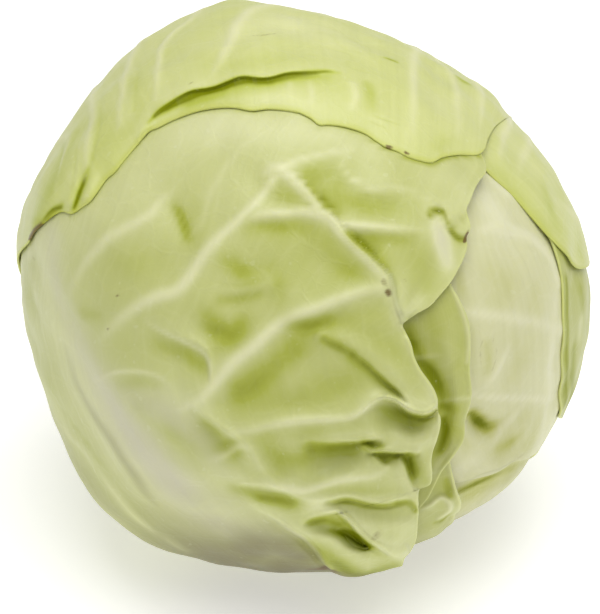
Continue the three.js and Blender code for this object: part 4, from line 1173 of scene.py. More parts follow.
frontLevel = level(5)
frontLeaf = {
    "node": "leaf_front_left",
    "slot": "front_leaf",
    "level": 5,
    "rows": [(0.12, 12), (0.6, 230), (0.86, 90), (1, 20)],
    "leftColumns": [(1, 24)],
    "rightColumns": [(0.45, 36), (1, 140)],
    "outline": {
        "base": (-206, -135, -94),
        "left": around([(-205, -45), (-210, -15), (-212, 10), (-208, 32), (-205, 50)]),
        "midrib": route([(-130, -66)], [(205, 552), (150, 507), (100, 442), (70, 375), (62, 305),
            (72, 235), (98, 170), (120, 140)], 5),
        "right": joined(around([(-92, -68)]), seen([(350, 575), (364, 570), (378, 565), (391, 562),
            (398, 558), (402, 551), (410, 545.5), (416, 537),
            (417.5, 522), (418, 507), (418, 498), (420, 489), (425, 487), (430, 484), (432, 474),
            (431, 462), (433, 451),
            (437, 441), (440, 430), (440, 419), (437, 410), (437, 400), (434, 391), (428, 381),
            (420, 370), (414, 358),
            (411, 345), (405, 332), (402, 325), (409, 319), (416, 314), (430, 306), (440, 295),
            (449, 284), (457, 271),
            (464, 259), (468, 247), (467, 237), (471, 228), (469, 219), (466, 211), (470, 201),
            (478, 183), (486, 170)],
            frontLevel), seen([(480, 150)], frontLevel)),
        "leftTip": seen([(150, 105), (128, 95)], frontLevel),
        "rightTip": seen([(170, 100), (260, 88), (350, 105), (430, 130)], frontLevel),
    },
    "greenness": 0.5,
    # painted shade towards the base, weaker on this leaf than on the others
    "paintedShade": 0.2,
    "sheet": stretchedSheet(frontLips, frontSwells),
    "presses": [
        stroke(around([(-200, -60), (-210, -15), (-212, 10), (-208, 32), (-205, 50)]),
            [0.6, 1, 1, 1, 0.8], 14),
    ],
    "ribs": drawn(5,
        ([(100, 340), (112, 327), (135, 308), (156, 297), (176, 291), (188, 278), (200, 260), (219, 238),
        (236, 223), (252, 206),
            (264, 192), (272, 180)], [0.1, 0.5, 0.9, 1, 0.9, 0.8, 0.7, 0.7], [1.6, 1.8, 1.5, 1.3]),
        ([(70, 296), (80, 272), (94, 252), (109, 238), (132, 225), (148, 216), (161, 200), (173, 189)],
            [0.1, 0.5, 0.6, 0.6, 0],
            [1.6, 1.8, 1.2]),
        ([(248, 219), (268, 214), (289, 213), (303, 212), (327, 217), (346, 225), (366, 226), (400, 229),
            (422, 230)],
            [0.3, 0.7, 0.8, 0.9, 0.8, 0.8, 0.5, 0.2], [1.5, 1.6, 1.1]),
        ([(268, 170), (279, 168), (290, 176), (300, 187), (314, 203), (328, 219), (340, 234), (356, 250),
            (372, 266), (383, 277)],
            [0.5, 1, 0.9, 0.8, 0.8, 0.7, 0.6, 0.4], [1.8, 1.6, 1.1, 0.9, 0.8]),
        ([(278, 168), (300, 160), (330, 153), (352, 151)], [0.7, 0.6, 0.5, 0.2], [1.3, 1.1]),
        ([(180, 410), (200, 399), (216, 382), (235, 361), (252, 348), (271, 331), (289, 318), (315, 309),
            (340, 299), (362, 292),
            (380, 289)], [0.2, 0.7, 0.9, 0.9, 0.8, 0.6, 0.3], [1.4, 1.7, 1.6, 1.3]),
        ([(190, 447), (232, 434), (264, 427), (288, 422), (312, 420), (336, 418), (352, 416), (364, 410),
            (378, 403), (396, 404),
            (412, 411)], [0, 0.3, 0.5, 0.6, 0.5, 0.6, 0.5, 0.2], [1.6, 1.2, 1.1]),
        ([(205, 462), (225, 454), (240, 446), (250, 448)], [0, 0.5, 0.5, 0.2], 1.2),
        ([(255, 486), (285, 488), (304, 491), (322, 485), (339, 480), (358, 478), (375, 477), (386, 471)],
            [0.1, 0.6, 0.8, 0.7, 0.6, 0.6, 0.4, 0.1], [1.5, 1.4, 1.1]),
        ([(340, 163), (352, 178), (370, 187), (400, 190), (430, 198)], [0.1, 0.5, 0.5, 0.4, 0.2], 0.8),
        ([(436, 228), (442, 240), (447, 260)], [0.2, 0.7, 0.3], 1.8),
        ([(140, 318), (163, 332), (184, 342), (203, 353), (210, 366), (211, 383)],
            [0, 0.4, 0.5, 0.5, 0.5, 0.2], 0.6),
        ([(98, 379), (116, 372), (135, 371), (156, 375), (172, 387)], [0.1, 0.5, 0.5, 0.4, 0.1], 0.7),
        ([(188, 240), (200, 225), (212, 190), (240, 150), (270, 126)], [0, 0.3, 0.2, 0.2, 0], 1.0),
        ([(52, 395), (65, 428), (87, 456), (113, 493), (139, 521), (165, 539), (189, 552)],
            [0.1, 0.3, 0.4, 0.4, 0.4, 0.4, 0.2], 1.6),
    ),
    "patches": drawn(5,
        # painted shadow next to the margin of the top leaf
        ([(x + 1, y + 2) for x, y in topMargin[3:-4]], [0.5, 0.6, 0.6, 0.4, 0.4, 0.3, 0.3, 0.3], 0.8),
        # pale left, pale ground under the top leaf and pale base
        ([(40, 260), (60, 330), (90, 400), (140, 470), (220, 520), (270, 545)],
            [-0.3, -0.35, -0.4, -0.42, -0.4, -0.2], [9, 12, 14]),
        ([(55, 235), (100, 210), (160, 150), (215, 125)], [-0.25, -0.2, -0.15, -0.25], [10, 8]),
        ([(200, 125), (250, 128), (310, 132), (370, 150)], [-0.2, -0.28, -0.28, -0.15], [7, 6, 3]),
        ([(430, 175), (455, 185), (462, 200), (450, 205)], [-0.12, -0.2, -0.2, -0.1], 5),
        ([(438, 222), (443, 240), (447, 262)], [-0.6, -1.0, -0.5], 2.6),
        ([(418, 300), (405, 312), (400, 290), (398, 275)], [-0.35, -0.45, -0.35, -0.15], 2.6),
        ([(150, 395), (175, 400), (200, 410)], [-0.2, -0.2, -0.1], 4),
        ([(300, 508), (320, 505), (330, 508)], [-0.2, -0.35, -0.2], 2.5),
        # green panels above and right of the long fold, and painted shade at the foot of the fold and in the
        # pucker
        ([(306, 176), (316, 196), (330, 208)], [0.3, 0.38, 0.3], 3.2),
        ([(318, 172), (340, 176), (335, 193), (370, 206), (405, 208)], [0.35, 0.35, 0.4, 0.4, 0.25], 5.0),
        ([(349, 234), (358, 243), (370, 254), (384, 268)], [0.6, 0.6, 0.45, 0.2], 1.6),
        ([(356, 238), (368, 245), (380, 252)], [0.3, 0.3, 0.2], 2.6),
        ([(322, 199), (334, 212), (343, 222)], [0.35, 0.4, 0.3], 1.4),
        ([(375, 236), (395, 238), (412, 237)], [0.3, 0.3, 0.15], 2.2),
        ([(410, 250), (420, 262), (428, 285)], [0.15, 0.25, 0.2], 5),
        ([(430, 213), (438, 211), (444, 214)], [0.9, 1.1, 0.8], 1.1),
        ([(448, 224), (453, 232), (460, 238), (466, 238)], [0.6, 0.8, 0.8, 0.5], 1.2),
        # green panels left of it
        ([(275, 190), (290, 196), (300, 204)], [0.2, 0.3, 0.3], 3.2),
        ([(254, 228), (280, 226), (308, 228)], [0.25, 0.3, 0.1], 2.8),
        ([(300, 226), (322, 236), (338, 250), (354, 268)], [0.1, 0.25, 0.25, 0.2], 4.0),
        ([(335, 262), (350, 272), (368, 280)], [0.1, 0.2, 0.1], 3.6),
        ([(228, 262), (242, 272), (252, 277)], [0.3, 0.5, 0.3], 3.0),
        ([(258, 252), (285, 245), (305, 248)], [0.1, 0.15, 0.15], 6),
        ([(274, 270), (278, 284), (280, 298)], [0.2, 0.35, 0.2], 3.0),
        ([(300, 270), (318, 290), (330, 285)], [0.15, 0.2, 0.2], 4),
        ([(222, 300), (240, 298), (258, 294)], [0.3, 0.35, 0.25], 1.8),
        ([(208, 318), (218, 328), (232, 334), (242, 322)], [0.4, 0.65, 0.5, 0.3], 3.6),
        ([(215, 350), (228, 345), (240, 332)], [0.3, 0.25, 0.2], 3.0),
        ([(290, 322), (306, 324), (325, 320)], [0.5, 0.6, 0.35], 2.4),
        ([(300, 345), (325, 333), (360, 320), (385, 312)], [0.3, 0.3, 0.25, 0.2], 5),
        ([(325, 339), (340, 345), (352, 352)], [0.5, 0.6, 0.4], 1.4),
        ([(354, 357), (370, 368), (385, 382), (398, 395)], [0.5, 0.4, 0.4, 0.3], 1.8),
        ([(240, 388), (255, 380), (272, 366), (290, 352)], [0.6, 0.65, 0.5, 0.3], 4.0),
        ([(245, 405), (280, 398), (320, 388), (350, 380)], [0.3, 0.35, 0.3, 0.3], 5.5),
        ([(380, 345), (400, 355), (418, 375)], [0.2, 0.25, 0.25], 5),
        ([(174, 204), (180, 214), (185, 228), (188, 238)], [0.3, 0.65, 0.65, 0.4], 1.5),
        # soft green on the pale left
        ([(118, 262), (140, 262), (160, 256)], [0.15, 0.22, 0.15], 5),
        ([(190, 195), (198, 215), (196, 245)], [0.15, 0.2, 0.2], 4),
        ([(84, 314), (96, 315)], [0.3, 0.2], 2.2),
        ([(160, 345), (185, 352), (200, 365)], [0.25, 0.4, 0.45], 3.0),
        ([(120, 385), (140, 382), (155, 385)], [0.2, 0.25, 0.2], 2.2),
        ([(140, 405), (152, 402)], [0.25, 0.15], 2.6),
        ([(36, 262), (30, 285), (34, 310)], [0.2, 0.3, 0.2], 3),
        # lobes at the lower right, with painted shade in their cavities and under their lips
        ([(205, 425), (218, 438), (235, 448)], [0.5, 0.6, 0.5], 3.0),
        ([(174, 432), (195, 441), (220, 451)], [0.3, 0.45, 0.35], 4.5),
        ([(236, 490), (262, 496), (290, 503)], [0.45, 0.6, 0.5], 3.0),
        ([(262, 442), (280, 456), (300, 458), (315, 436)], [0.35, 0.45, 0.45, 0.2], 4.0),
        ([(240, 462), (255, 474), (275, 476)], [0.15, 0.25, 0.2], 3.0),
        ([(398, 503), (409, 502), (416, 510)], [0.5, 0.6, 0.6], 1.2),
        ([(312, 447), (330, 449), (352, 448)], [0.4, 0.6, 0.4], 2.2),
        ([(270, 432), (300, 432), (340, 430), (370, 425)], [0.15, 0.2, 0.2, 0.1], 2.6),
        ([(384, 408), (396, 414), (410, 418), (425, 418)], [0.3, 0.5, 0.5, 0.2], 2.0),
        ([(364, 443), (372, 446), (382, 446)], [0.7, 0.9, 0.4], 1.4),
        ([(378, 455), (386, 460), (394, 457)], [0.5, 0.6, 0.4], 2.0),
        ([(406, 457), (410, 465), (414, 476)], [0.6, 0.7, 0.4], 1.8),
        ([(262, 498), (280, 498), (300, 506)], [0.35, 0.4, 0.2], 2.4),
        ([(310, 492), (345, 490), (370, 492), (400, 492)], [0.2, 0.25, 0.25, 0.15], 1.8),
        ([(330, 503), (350, 503), (372, 508), (392, 506)], [0.3, 0.45, 0.5, 0.2], 1.4),
        ([(312, 522), (326, 521), (338, 524)], [0.5, 0.5, 0.5], 1.8),
        ([(334, 531), (346, 535), (358, 541), (368, 548)], [0.6, 1.5, 1.7, 1.0], 1.9),
        ([(310, 545), (335, 560), (360, 566), (385, 560)], [0.6, 1.0, 1.0, 0.7], 4.5),
        ([(428, 453), (424, 468), (425, 481)], [0.2, 0.35, 0.35], 2),
        ([(310, 480), (340, 486), (380, 484)], [0.15, 0.15, 0.1], 3),
    ),
    "stalks": drawn(5,
        ([(64, 300), (84, 350), (115, 410), (148, 455), (180, 487), (205, 502)],
        [0.2, 0.5, 0.8, 0.9, 0.9, 0.3], [6, 8, 9]),
        ([(195, 510), (215, 522), (235, 532)], [0.3, 0.5, 0.3], 6),
        ([(437, 226), (442, 240), (447, 260)], [0.3, 0.6, 0.3], 2.2),
        ([(120, 395), (165, 412), (200, 440), (220, 470)], [0.4, 0.5, 0.5, 0.2], 5),
        ([(50, 235), (56, 280), (70, 330)], [0.3, 0.4, 0.3], 4),
    ),
    # painted shade: the shaded base, the shaded left edge, a groove and a dark gap under the margin
    "paintedShadeStrokes": [
        stroke(route([(-195, -62), (-160, -64)], [(160, 540)], 5), [0.3, 0.3, 0.1], 12),
        *drawn(5,
            ([(225, 560), (260, 567), (300, 571)], [0.95, 1, 1], 27),
            ([(226, 552), (248, 552), (270, 545), (298, 556)], [0.8, 0.95, 0.85, 0.95], 15),
            ([(45, 400), (78, 468), (128, 522), (162, 543)], [0.25, 0.25, 0.4, 0.45], 8),
            ([(66, 350), (78, 385), (93, 413), (113, 443), (134, 474), (156, 504), (174, 521)],
                [0.1, 0.25, 0.35, 0.4, 0.4, 0.3, 0.1], [2.0, 3.0]),
            ([(174, 551), (194, 556), (212, 560)], [0.5, 1, 0.8], 0.9),
        ),
    ],
    # where the painted shade is taken off again: the underside and the lit lobes at the bottom
    "lights": [
        stroke(around([(-165, -74), (-130, -74), (-98, -73)]), [0.5, 0.6, 0.6], 12),
        *drawn(5,
            ([(262, 503), (280, 514), (298, 526), (312, 538), (324, 550), (337, 565)],
            [0.3, 0.6, 0.8, 0.9, 1, 1], [3, 2.4, 2, 2]),
            ([(310, 522), (332, 540), (352, 560)], [0.8, 1, 1], [5, 6, 7]),
            ([(350, 545), (378, 556), (402, 545)], [1, 1, 1], 10),
            ([(52, 395), (65, 428), (87, 456), (113, 493), (139, 521), (165, 539), (189, 552)],
                [0.1, 0.2, 0.3, 0.3, 0.3, 0.3, 0.2], 1.8),
        ),
    ],
    "creases": drawn(5,
        ([(64, 348), (76, 383), (91, 411), (111, 441), (132, 472), (154, 502)],
        [0.1, 0.3, 0.35, 0.35, 0.3, 0.1], [2.0, 2.8]),
        ([(40, 350), (58, 400), (84, 440), (118, 480)], [0.2, 0.5, 0.5, 0.2], 0.9),
        ([(338, 300), (350, 318)], [0.3, 0.1], 0.8),
        ([(220, 284), (240, 286), (262, 280)], [0.3, 0.5, 0.2], 0.7),
    ),
    "spots": drawn(5,
        ([(383, 281), (386, 284)], [0.7, 0.65], 1.1),
        ([(388, 292), (389, 294)], [1.2, 1.1], 1.0),
        ([(375, 538), (378, 533)], [0.6, 0.6], 1.9),
        ([(465, 241), (468, 233)], [1.6, 1.4], 0.6),
        # painted shade: the dark gap between the base and the bottom lobe
        ([(312, 569), (320, 569), (329, 567)], [0.8, 1.3, 1.3], 3.0),
        ([(404, 279), (405, 281)], [0.6, 0.6], 0.6),
        ([(118, 294), (118, 296)], [0.9, 0.9], 0.5),
        ([(121, 289), (122, 290)], [0.6, 0.6], 0.4),
        ([(108, 329), (109, 330)], [0.8, 0.8], 0.5),
        ([(39, 271), (39, 273)], [0.9, 0.7], 0.6),
        ([(32, 250), (33, 258)], [0.4, 0.5], 1.2),
        ([(51, 222), (52, 223)], [0.6, 0.6], 0.5),
    ),
}
# ribs of the half that turns round to the back
for rise in (-40, -18, 4, 26):
    rib = around([(-158, rise - 18), (-172, rise - 4), (-188, rise + 7), (-204, rise + 12)])
    frontLeaf["ribs"].append(stroke(rib, [0.1, 0.7, 0.5, 0.2], [1.8, 1.1]))
buildLeaf("frontLeaf", frontLeaf, frontSkin)

topLips = [
    *step([(140, 136, 0.3), (148.5, 121, 0.6), (158, 111, 0.9), (170, 103, 1.2), (182, 95, 1.4),
        (192, 90, 1.6), (210, 86, 1.7),
        (225, 81, 1.8), (241, 76, 1.8), (257, 77, 1.8), (269, 76, 1.8), (285, 72, 1.8), (301, 71, 1.7),
        (316, 71, 1.6),
        (328, 70, 1.4), (338, 71, 1.2), (348, 75, 1.0)],
        [0.1, 0.5, 0.8, 1.2, 1.4, 1.6, 1.7, 1.8, 1.8, 1.8, 1.7, 1.6, 1.4, 1.2, 1.0, 0.6, 0.1], 4.0),
]
topSwells = [
    [(x, y, -0.7 + 0.1 * np.sin(k * 1.9)) for k, (x, y) in enumerate(topMargin[1:-1])],
    [(353, 77, 1.2), (357, 86, 1.4), (356, 98, 1.0), (354, 108, 0.8)],
    [(366, 84, 0.4), (371, 96, 0.2), (372, 110, 0.6)],
    [(205, 103, 0.2), (235, 98, 0.4), (265, 95, 0.6), (300, 93, 0.7), (330, 95, 0.7)],
    [(86, 173, 0.2), (82, 187, -0.8), (77, 200, -1.0), (73, 207, -0.8)],
    [(46, 221, -0.3), (52, 215, -0.8), (60, 208, -0.8)],
    [(91, 172, 1.2), (89, 187, 1.6), (86, 199, 1.6)],
    [(78, 176, 1.8), (73, 192, 2.0), (68, 206, 2.0)],
    [(40, 214, 1.6), (48, 207, 2.0), (57, 200, 1.8)],
    [(105, 150, 0.2), (120, 120, 0.3), (140, 95, 0.8)],
    [(370, 115, 0.4), (395, 122, 0.2), (430, 130, 0.1), (465, 125, 0.2)],
    [(435, 145, 0.4), (450, 142, 0.2)],
    [(459, 78, -0.6), (464, 82, -0.8), (468, 84, -0.4)],
]
topLevel = level(6)
topTip = seen([(300, 113)], topLevel)
topLeaf = {
    "node": "leaf_top",
    "slot": "top_leaf",
    "level": 6,
    "rows": [(0.66, 60), (0.88, 60), (1, 120)],
    "leftColumns": [(1, 120)],
    "rightColumns": [(1, 130)],
    "outline": {
        "base": (66, 98, 164),
        "right": route([(162, -62), (158, -45), (165, -20), (173, -2)], topMargin[-1:], 6),
        "midrib": joined(around([(97, -50), (95, -15), (93, 20), (91, 48)]),
            seen([(290, 20), (296, 70)], topLevel), topTip),
        "left": route([(62, -45), (56, -15), (40, 12), (22, 33)], topMargin[:1], 6),
        "leftTip": seen(topMargin[18:0:-1], topLevel),
        "rightTip": seen(topMargin[20:-1], topLevel),
    },
    "greenness": 0.45,
    "sheet": stretchedSheet(topLips, topSwells, 20.0),
    "presses": [
        stroke(joined(seen([(496, 132), (506, 118)], topLevel),
            around([(22, 33), (40, 12), (56, -15), (62, -45)])),
            [0.6, 1.5, 1.6, 1.8, 1.8, 1.5], [3.5, 6, 10]),
        stroke(around([(162, -68), (160, -58), (158, -45), (165, -20), (173, -2)]),
            [0.5, 0.7, 0.7, 0.6, 0.3], 6),
    ],
    "ribs": [
        stroke(around([(98, -77), (97, -50), (95, -15), (93, 20), (91, 48), (92, 62)]),
            [1, 1, 1, 1, 0.9, 0.7], [7, 6, 5, 4, 3, 2]),
        stroke(route([(92, 62)], [(270, 6), (249, 12), (235, 30), (228, 46), (220, 62), (214, 74)], 6),
            [0.7, 0.5, 0.7, 0.8, 0.7, 0.5, 0.1], [2, 2.2, 1.6, 1.2]),
        stroke(route([(95, 20), (120, 52)], [(192, 18), (170, 36), (160, 55), (158, 79), (156, 99)], 6),
            [0.5, 0.5, 0.6, 0.7, 0.7, 0.5, 0.2], [2.0, 1.2, 0.9]),
        stroke(route([(96, 0), (125, 36), (140, 48)], [(127, 71), (123, 90), (119, 126)], 6),
            [0.5, 0.6, 0.6, 0.6, 0.2], [2.0, 1.1]),
        stroke(route([(97, -22), (125, 14), (150, 34)], [(93, 112), (88, 145), (85, 178)], 6),
            [0.5, 0.6, 0.6, 0.5, 0.2], [2.0, 1.0]),
        stroke(route([(97, -42), (130, -10), (155, 12)], [(69, 138), (60, 168), (56, 195)], 6),
            [0.5, 0.6, 0.5, 0.4, 0.1], [2.0, 1.0]),
        stroke(route([(95, 22), (75, 52)], [(408, 36), (413, 62), (413, 96), (411, 136)], 6),
            [0.4, 0.4, 0.3, 0.7, 0.7, 0.5, 0.1], [2.0, 1.6, 1.1]),
        stroke(route([(96, 2), (68, 36), (55, 50)], [(455, 84), (457, 104), (457, 136)], 6),
            [0.4, 0.4, 0.3, 0.6, 0.4, 0.1], [2.0, 1.1]),
        stroke(route([(97, -20), (70, 12), (50, 33)], [(481, 92), (482, 112), (480, 126)], 6),
            [0.4, 0.4, 0.3, 0.6, 0.4, 0.1], [2.0, 1.0]),
        stroke(around([(97, -42), (72, -16), (56, 0)]), [0.5, 0.7, 0.2], [2.4, 1.2]),
        stroke(around([(97, -58), (112, -40), (130, -28), (150, -20)]), [0.5, 0.7, 0.5, 0.1], [2.4, 1.2]),
        *drawn(6,
            ([(310, 82), (312, 92), (310, 104)], [0.2, 0.4, 0.1], 1.0),
            ([(290, 84), (288, 96)], [0.3, 0.1], 1.2),
            ([(352, 84), (356, 96), (352, 108)], [0.3, 0.5, 0.2], 1.2),
        ),
    ],
    "patches": drawn(6,
        # painted shadow under the lip of the pleat
        ([(150, 122), (160, 111), (172, 103), (192, 92), (210, 88), (240, 78), (258, 79), (270, 78),
        (285, 74), (301, 73), (328, 72),
            (338, 73)], [0.6, 1.1, 1.3, 1.3, 1.2, 1.1, 1.1, 1.1, 1.0, 0.9, 0.8, 0.3], 1.0),
        ([(156, 116), (168, 109), (182, 101), (200, 93), (222, 87), (245, 82), (268, 82), (290, 77),
            (315, 75)],
            [0.4, 0.9, 1.1, 1.1, 1.0, 0.9, 0.8, 0.7, 0.4], 1.3),
        ([(160, 110), (180, 102), (205, 95), (230, 89), (262, 86), (295, 80), (325, 78)],
            [0.3, 0.4, 0.4, 0.3, 0.3, 0.3, 0.2], 2.4),
        ([(190, 104), (215, 98), (235, 95)], [0.4, 0.35, 0.1], 2.4),
        ([(270, 100), (310, 108), (350, 118)], [-0.15, -0.1, 0], 3),
        ([(250, 30), (290, 25), (330, 40)], [-0.2, -0.25, -0.15], 9),
        ([(195, 60), (235, 65), (280, 60)], [0.12, 0.15, 0.1], 4),
        ([(70, 140), (52, 185), (38, 225)], [0.35, 0.6, 0.55], 6),
        ([(100, 145), (84, 180), (68, 200)], [0.2, 0.3, 0.3], 4),
        ([(100, 120), (115, 145), (110, 165)], [0.15, 0.2, 0.15], 4),
        ([(135, 80), (140, 110), (130, 130)], [0.15, 0.2, 0.15], 3),
        # painted shade in the grooves and the notch at the left
        ([(87, 170), (84, 182), (79, 195), (74, 207)], [0.4, 0.9, 1.2, 1.2], 1.2),
        ([(60, 207), (53, 211), (47, 218), (42, 226)], [1.0, 1.3, 1.2, 0.8], 1.2),
        ([(368, 84), (371, 95), (372, 108)], [0.3, 0.4, 0.2], 1.8),
        ([(438, 146), (445, 140), (452, 138)], [0.25, 0.3, 0.1], 2.6),
        ([(458, 78), (464, 82), (469, 84)], [0.7, 0.8, 0.5], 1.2),
        ([(386, 59), (391, 61), (396, 63)], [0.8, 1.0, 0.8], 0.7),
        ([(420, 80), (440, 100), (470, 100)], [-0.1, -0.12, -0.1], 5),
    ),
    "creases": drawn(6,
        ([(376, 115), (386, 119), (399, 124)], [0.3, 0.7, 0.3], 0.5),
        ([(372, 121), (384, 126)], [0.3, 0.5], 0.5),
        ([(69, 120), (62, 150), (58, 180)], [0.2, 0.5, 0.4], 0.8),
        ([(104, 92), (98, 130), (92, 160)], [0.2, 0.5, 0.4], 0.8),
        ([(80, 135), (76, 160), (72, 185)], [0.2, 0.5, 0.4], 0.7),
        ([(140, 62), (137, 85), (134, 110)], [0.2, 0.4, 0.3], 0.8),
    ),
    "spots": drawn(6,
        ([(247, 35), (262, 36), (275, 34), (286, 33)], [0.4, 0.65, 0.55, 0.35], [0.6, 0.9, 0.6]),
        ([(190, 84), (192, 83)], [0.7, 0.6], 0.7),
        ([(388, 146), (391, 147)], [1.3, 1.2], 0.6),
        ([(405, 153), (407, 154)], [1.3, 1.2], 0.6),
        ([(41, 226), (35, 233), (29, 241)], [1.1, 1.6, 1.6], 1.4),
        ([(104, 133), (99, 139)], [0.5, 0.4], 0.35),
        ([(96, 146), (93, 152)], [0.5, 0.4], 0.35),
    ),
}
# fine wrinkles along the skyline, unevenly spaced
wrinkles = {"count": 7, "apart": 5.5, "unevenness": 1.6, "sideways": 16, "width": 0.6}
for wrinkle in range(wrinkles["count"]):
    drop = wrinkles["apart"] * wrinkle + wrinkles["unevenness"] * np.sin(2.3 * wrinkle)
    shift = wrinkles["sideways"] * np.sin(1.7 * wrinkle)
    places = [
        (296 + drop + shift, 12 + drop), (328 + drop + shift, 19 + drop),
        (360 + shift, 31 + drop), (384, 42 + drop),
    ]
    topLeaf["creases"] += drawn(6, (places, [0.1, 0.4, 0.3, 0.1], wrinkles["width"]))
buildLeaf("topLeaf", topLeaf, topSkin)



# Rings of points from the bottom up, closed by a point at either end
def turnedFaces(ringCount, turns):
    index = np.arange(ringCount * turns).reshape(ringCount, turns)
    index = np.concatenate([index, index[:, :1]], 1)
    bottom = ringCount * turns
    return joined(
        gridTriangles(index),
        np.stack([np.full(turns, bottom), index[0, 1:], index[0, :-1]], -1),
        np.stack([np.full(turns, bottom + 1), index[-1, :-1], index[-1, 1:]], -1),
    )


def plainValues(points, greenness):
    none = np.zeros(len(points))
    noMargin = none + growth["awayFromMargin"]
    return {"vein": none, "green": none + greenness, "margin": noMargin, "spot": none}


innerHead = {"rings": 70, "turns": 120, "clearance": 0.4, "greenness": 0.1}


def buildInnerHead():
    turns, rings = innerHead["turns"], innerHead["rings"]
    latitudes = -90 + 180 * np.arange(1, rings) / rings
    compass = 360 * np.arange(turns) / turns
    places = np.stack(np.meshgrid(compass, latitudes), -1).reshape(-1, 2)
    directions = joined(around(places), [[0, 0, -1.0], [0, 0, 1.0]])
    points = head["centre"] + directions * headRadius(directions, -innerHead["clearance"])[:, None]
    values = plainValues(points, innerHead["greenness"])
    piece = addMesh("innerHead", points, turnedFaces(rings - 1, turns), values, paleSkin)
    finish(piece, "inner_head")


buildInnerHead()

# Stem: a short stub with its cut face down, a ring of fibre bundles round the pith
stem = {
    "radius": 16.0,
    "top": 11.4,
    "sides": 96,
    "sunk": 0.3,  # how far the middle of the cut lies above its rim
    "bundles": 30,
    "ringRadius": 11.0,
    "bundleSize": 0.9,
    "greenness": 0.3,
}
# from the middle of the cut to the top: share of the radius, height
stemProfile = [
    (0.25, stem["sunk"]), (0.85, stem["sunk"]), (0.9, 0.0), (0.95, 0.0),
    (0.99, 0.4), (1, 1.0), (1, 6.0), (0.97, stem["top"]),
]


def stemGroup(material):
    group = bpy.data.node_groups.new("stemBundles", "GeometryNodeTree")
    nodes, links = group.nodes, group.links
    group.interface.new_socket("Geometry", in_out="INPUT", socket_type="NodeSocketGeometry")
    inputs = {"Bundles": "NodeSocketInt", "Ring radius": "NodeSocketFloat", "Bundle size": "NodeSocketFloat"}
    sockets = {}
    for label, kind in inputs.items():
        sockets[label] = group.interface.new_socket(label, in_out="INPUT", socket_type=kind).identifier
    group.interface.new_socket("Geometry", in_out="OUTPUT", socket_type="NodeSocketGeometry")
    start, end = nodes.new("NodeGroupInput"), nodes.new("NodeGroupOutput")
    circle = nodes.new("GeometryNodeMeshCircle")
    links.new(start.outputs["Bundles"], circle.inputs["Vertices"])
    links.new(start.outputs["Ring radius"], circle.inputs["Radius"])
    bundle = nodes.new("GeometryNodeMeshUVSphere")
    bundle.inputs["Segments"].default_value = 12
    bundle.inputs["Rings"].default_value = 8
    links.new(start.outputs["Bundle size"], bundle.inputs["Radius"])
    raised = nodes.new("GeometryNodeSetPosition")
    links.new(circle.outputs["Mesh"], raised.inputs["Geometry"])
    offset = nodes.new("ShaderNodeCombineXYZ")
    links.new(start.outputs["Bundle size"], offset.inputs["Z"])
    links.new(offset.outputs["Vector"], raised.inputs["Offset"])
    spread = nodes.new("GeometryNodeInstanceOnPoints")
    links.new(raised.outputs["Geometry"], spread.inputs["Points"])
    links.new(bundle.outputs["Mesh"], spread.inputs["Instance"])
    gathered = nodes.new("GeometryNodeJoinGeometry")
    links.new(spread.outputs["Instances"], gathered.inputs["Geometry"])
    links.new(start.outputs["Geometry"], gathered.inputs["Geometry"])
    real = nodes.new("GeometryNodeRealizeInstances")
    links.new(gathered.outputs["Geometry"], real.inputs["Geometry"])
    painted = nodes.new("GeometryNodeSetMaterial")
    painted.inputs["Material"].default_value = material
    links.new(real.outputs["Geometry"], painted.inputs["Geometry"])
    links.new(painted.outputs["Geometry"], end.inputs["Geometry"])
    return group, sockets


def buildStem():
    look = dict(leafLook, pale=(0.72, 0.68, 0.45), green=(0.55, 0.56, 0.25), branchPale=0.05)
    material = skinMaterial("stemSkin", look)
    profile = np.array(stemProfile)
    turn = 2 * np.pi * np.arange(stem["sides"]) / stem["sides"]
    rings = np.stack([
        stem["radius"] * profile[:, :1] * np.cos(turn),
        stem["radius"] * profile[:, :1] * np.sin(turn),
        np.broadcast_to(profile[:, 1:], (len(profile), stem["sides"])),
    ], -1)
    points = joined(rings.reshape(-1, 3), [[0, 0, stem["sunk"]], [0, 0, stem["top"]]])
    faces = turnedFaces(len(profile), stem["sides"])
    blank = addMesh("stemBlank", points, faces, plainValues(points, stem["greenness"]), material)
    group, sockets = stemGroup(material)
    modifier = blank.modifiers.new("bundles", "NODES")
    modifier.node_group = group
    modifier[sockets["Bundles"]] = stem["bundles"]
    modifier[sockets["Ring radius"]] = stem["ringRadius"] * mm
    modifier[sockets["Bundle size"]] = stem["bundleSize"] * mm
    evaluated = blank.evaluated_get(bpy.context.evaluated_depsgraph_get())
    piece = bpy.data.objects.new("stem", bpy.data.meshes.new_from_object(evaluated))
    bpy.context.scene.collection.objects.link(piece)
    bpy.data.objects.remove(blank)
    finish(piece, "stem")


buildStem()

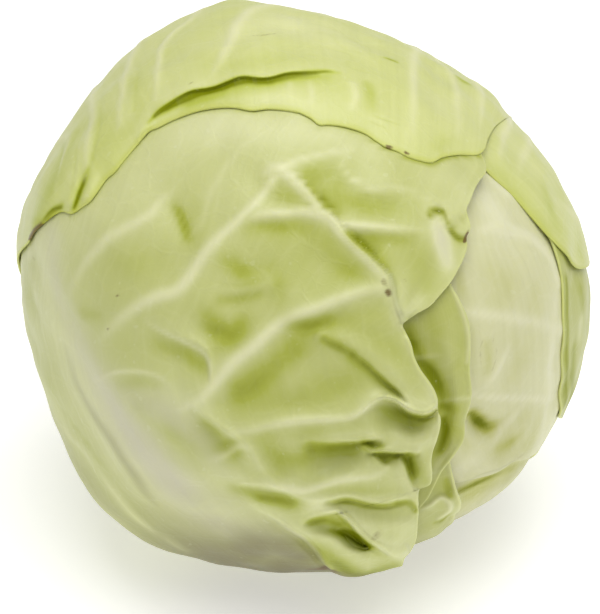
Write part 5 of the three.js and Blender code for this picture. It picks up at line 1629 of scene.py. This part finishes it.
# Floor, light and camera, with places in metres
floorLook = {
    "corners": [(-6, -4, 0), (6, -4, 0), (6, 8, 0), (-6, 8, 0)],
    "colour": (0.88, 0.88, 0.88, 1),
    "roughness": 0.85,
    "glow": 0.42,
}
floorMesh = bpy.data.meshes.new("floor")
floorMesh.from_pydata(floorLook["corners"], [], [(0, 1, 2, 3)])
floor = bpy.data.objects.new("floor", floorMesh)
bpy.context.scene.collection.objects.link(floor)
floorPaint = bpy.data.materials.new("floorPaint")
floorPaint.use_nodes = True
floorShader = floorPaint.node_tree.nodes["Principled BSDF"]
floorShader.inputs["Base Color"].default_value = floorLook["colour"]
floorShader.inputs["Roughness"].default_value = floorLook["roughness"]
floorShader.inputs["Emission Color"].default_value = (1, 1, 1, 1)
floorShader.inputs["Emission Strength"].default_value = floorLook["glow"]
floorMesh.materials.append(floorPaint)

light = {
    "worldStrength": 0.38,
    "keyPlace": (0.12, -0.28, 1.25),
    "keySize": 1.1,
    "keyPower": 13.5,
}
world = bpy.data.worlds.new("studio")
world.use_nodes = True
world.node_tree.nodes["Background"].inputs["Color"].default_value = (1, 1, 1, 1)
world.node_tree.nodes["Background"].inputs["Strength"].default_value = light["worldStrength"]
bpy.context.scene.world = world
keyLight = bpy.data.lights.new("keyLight", "AREA")
keyLight.size = light["keySize"]
keyLight.energy = light["keyPower"]
keyLamp = bpy.data.objects.new("keyLight", keyLight)
keyLamp.location = light["keyPlace"]
aim = Vector(head["centre"] * mm) - Vector(light["keyPlace"])
keyLamp.rotation_euler = aim.to_track_quat("-Z", "Y").to_euler()
bpy.context.scene.collection.objects.link(keyLamp)

camera = bpy.data.objects.new("camera", bpy.data.cameras.new("camera"))
bpy.context.scene.collection.objects.link(camera)
camera.data.sensor_fit = "HORIZONTAL"
frameWidth, frameHeight = view["frameSize"]
camera.data.sensor_width = view["sensor"]
camera.data.lens = view["sensor"] * view["eyeDistance"] / (frameWidth * pixel)
camera.data.shift_x = (frameWidth / 2 - head["middlePixel"][0]) / frameWidth
camera.data.shift_y = (head["middlePixel"][1] - frameHeight / 2) / frameWidth
camera.location = eye * mm
camera.rotation_euler = (np.pi / 2 - view["tilt"], 0, 0)
bpy.context.scene.camera = camera
bpy.context.scene.view_settings.view_transform = "Standard"
print("floor, light and camera set")
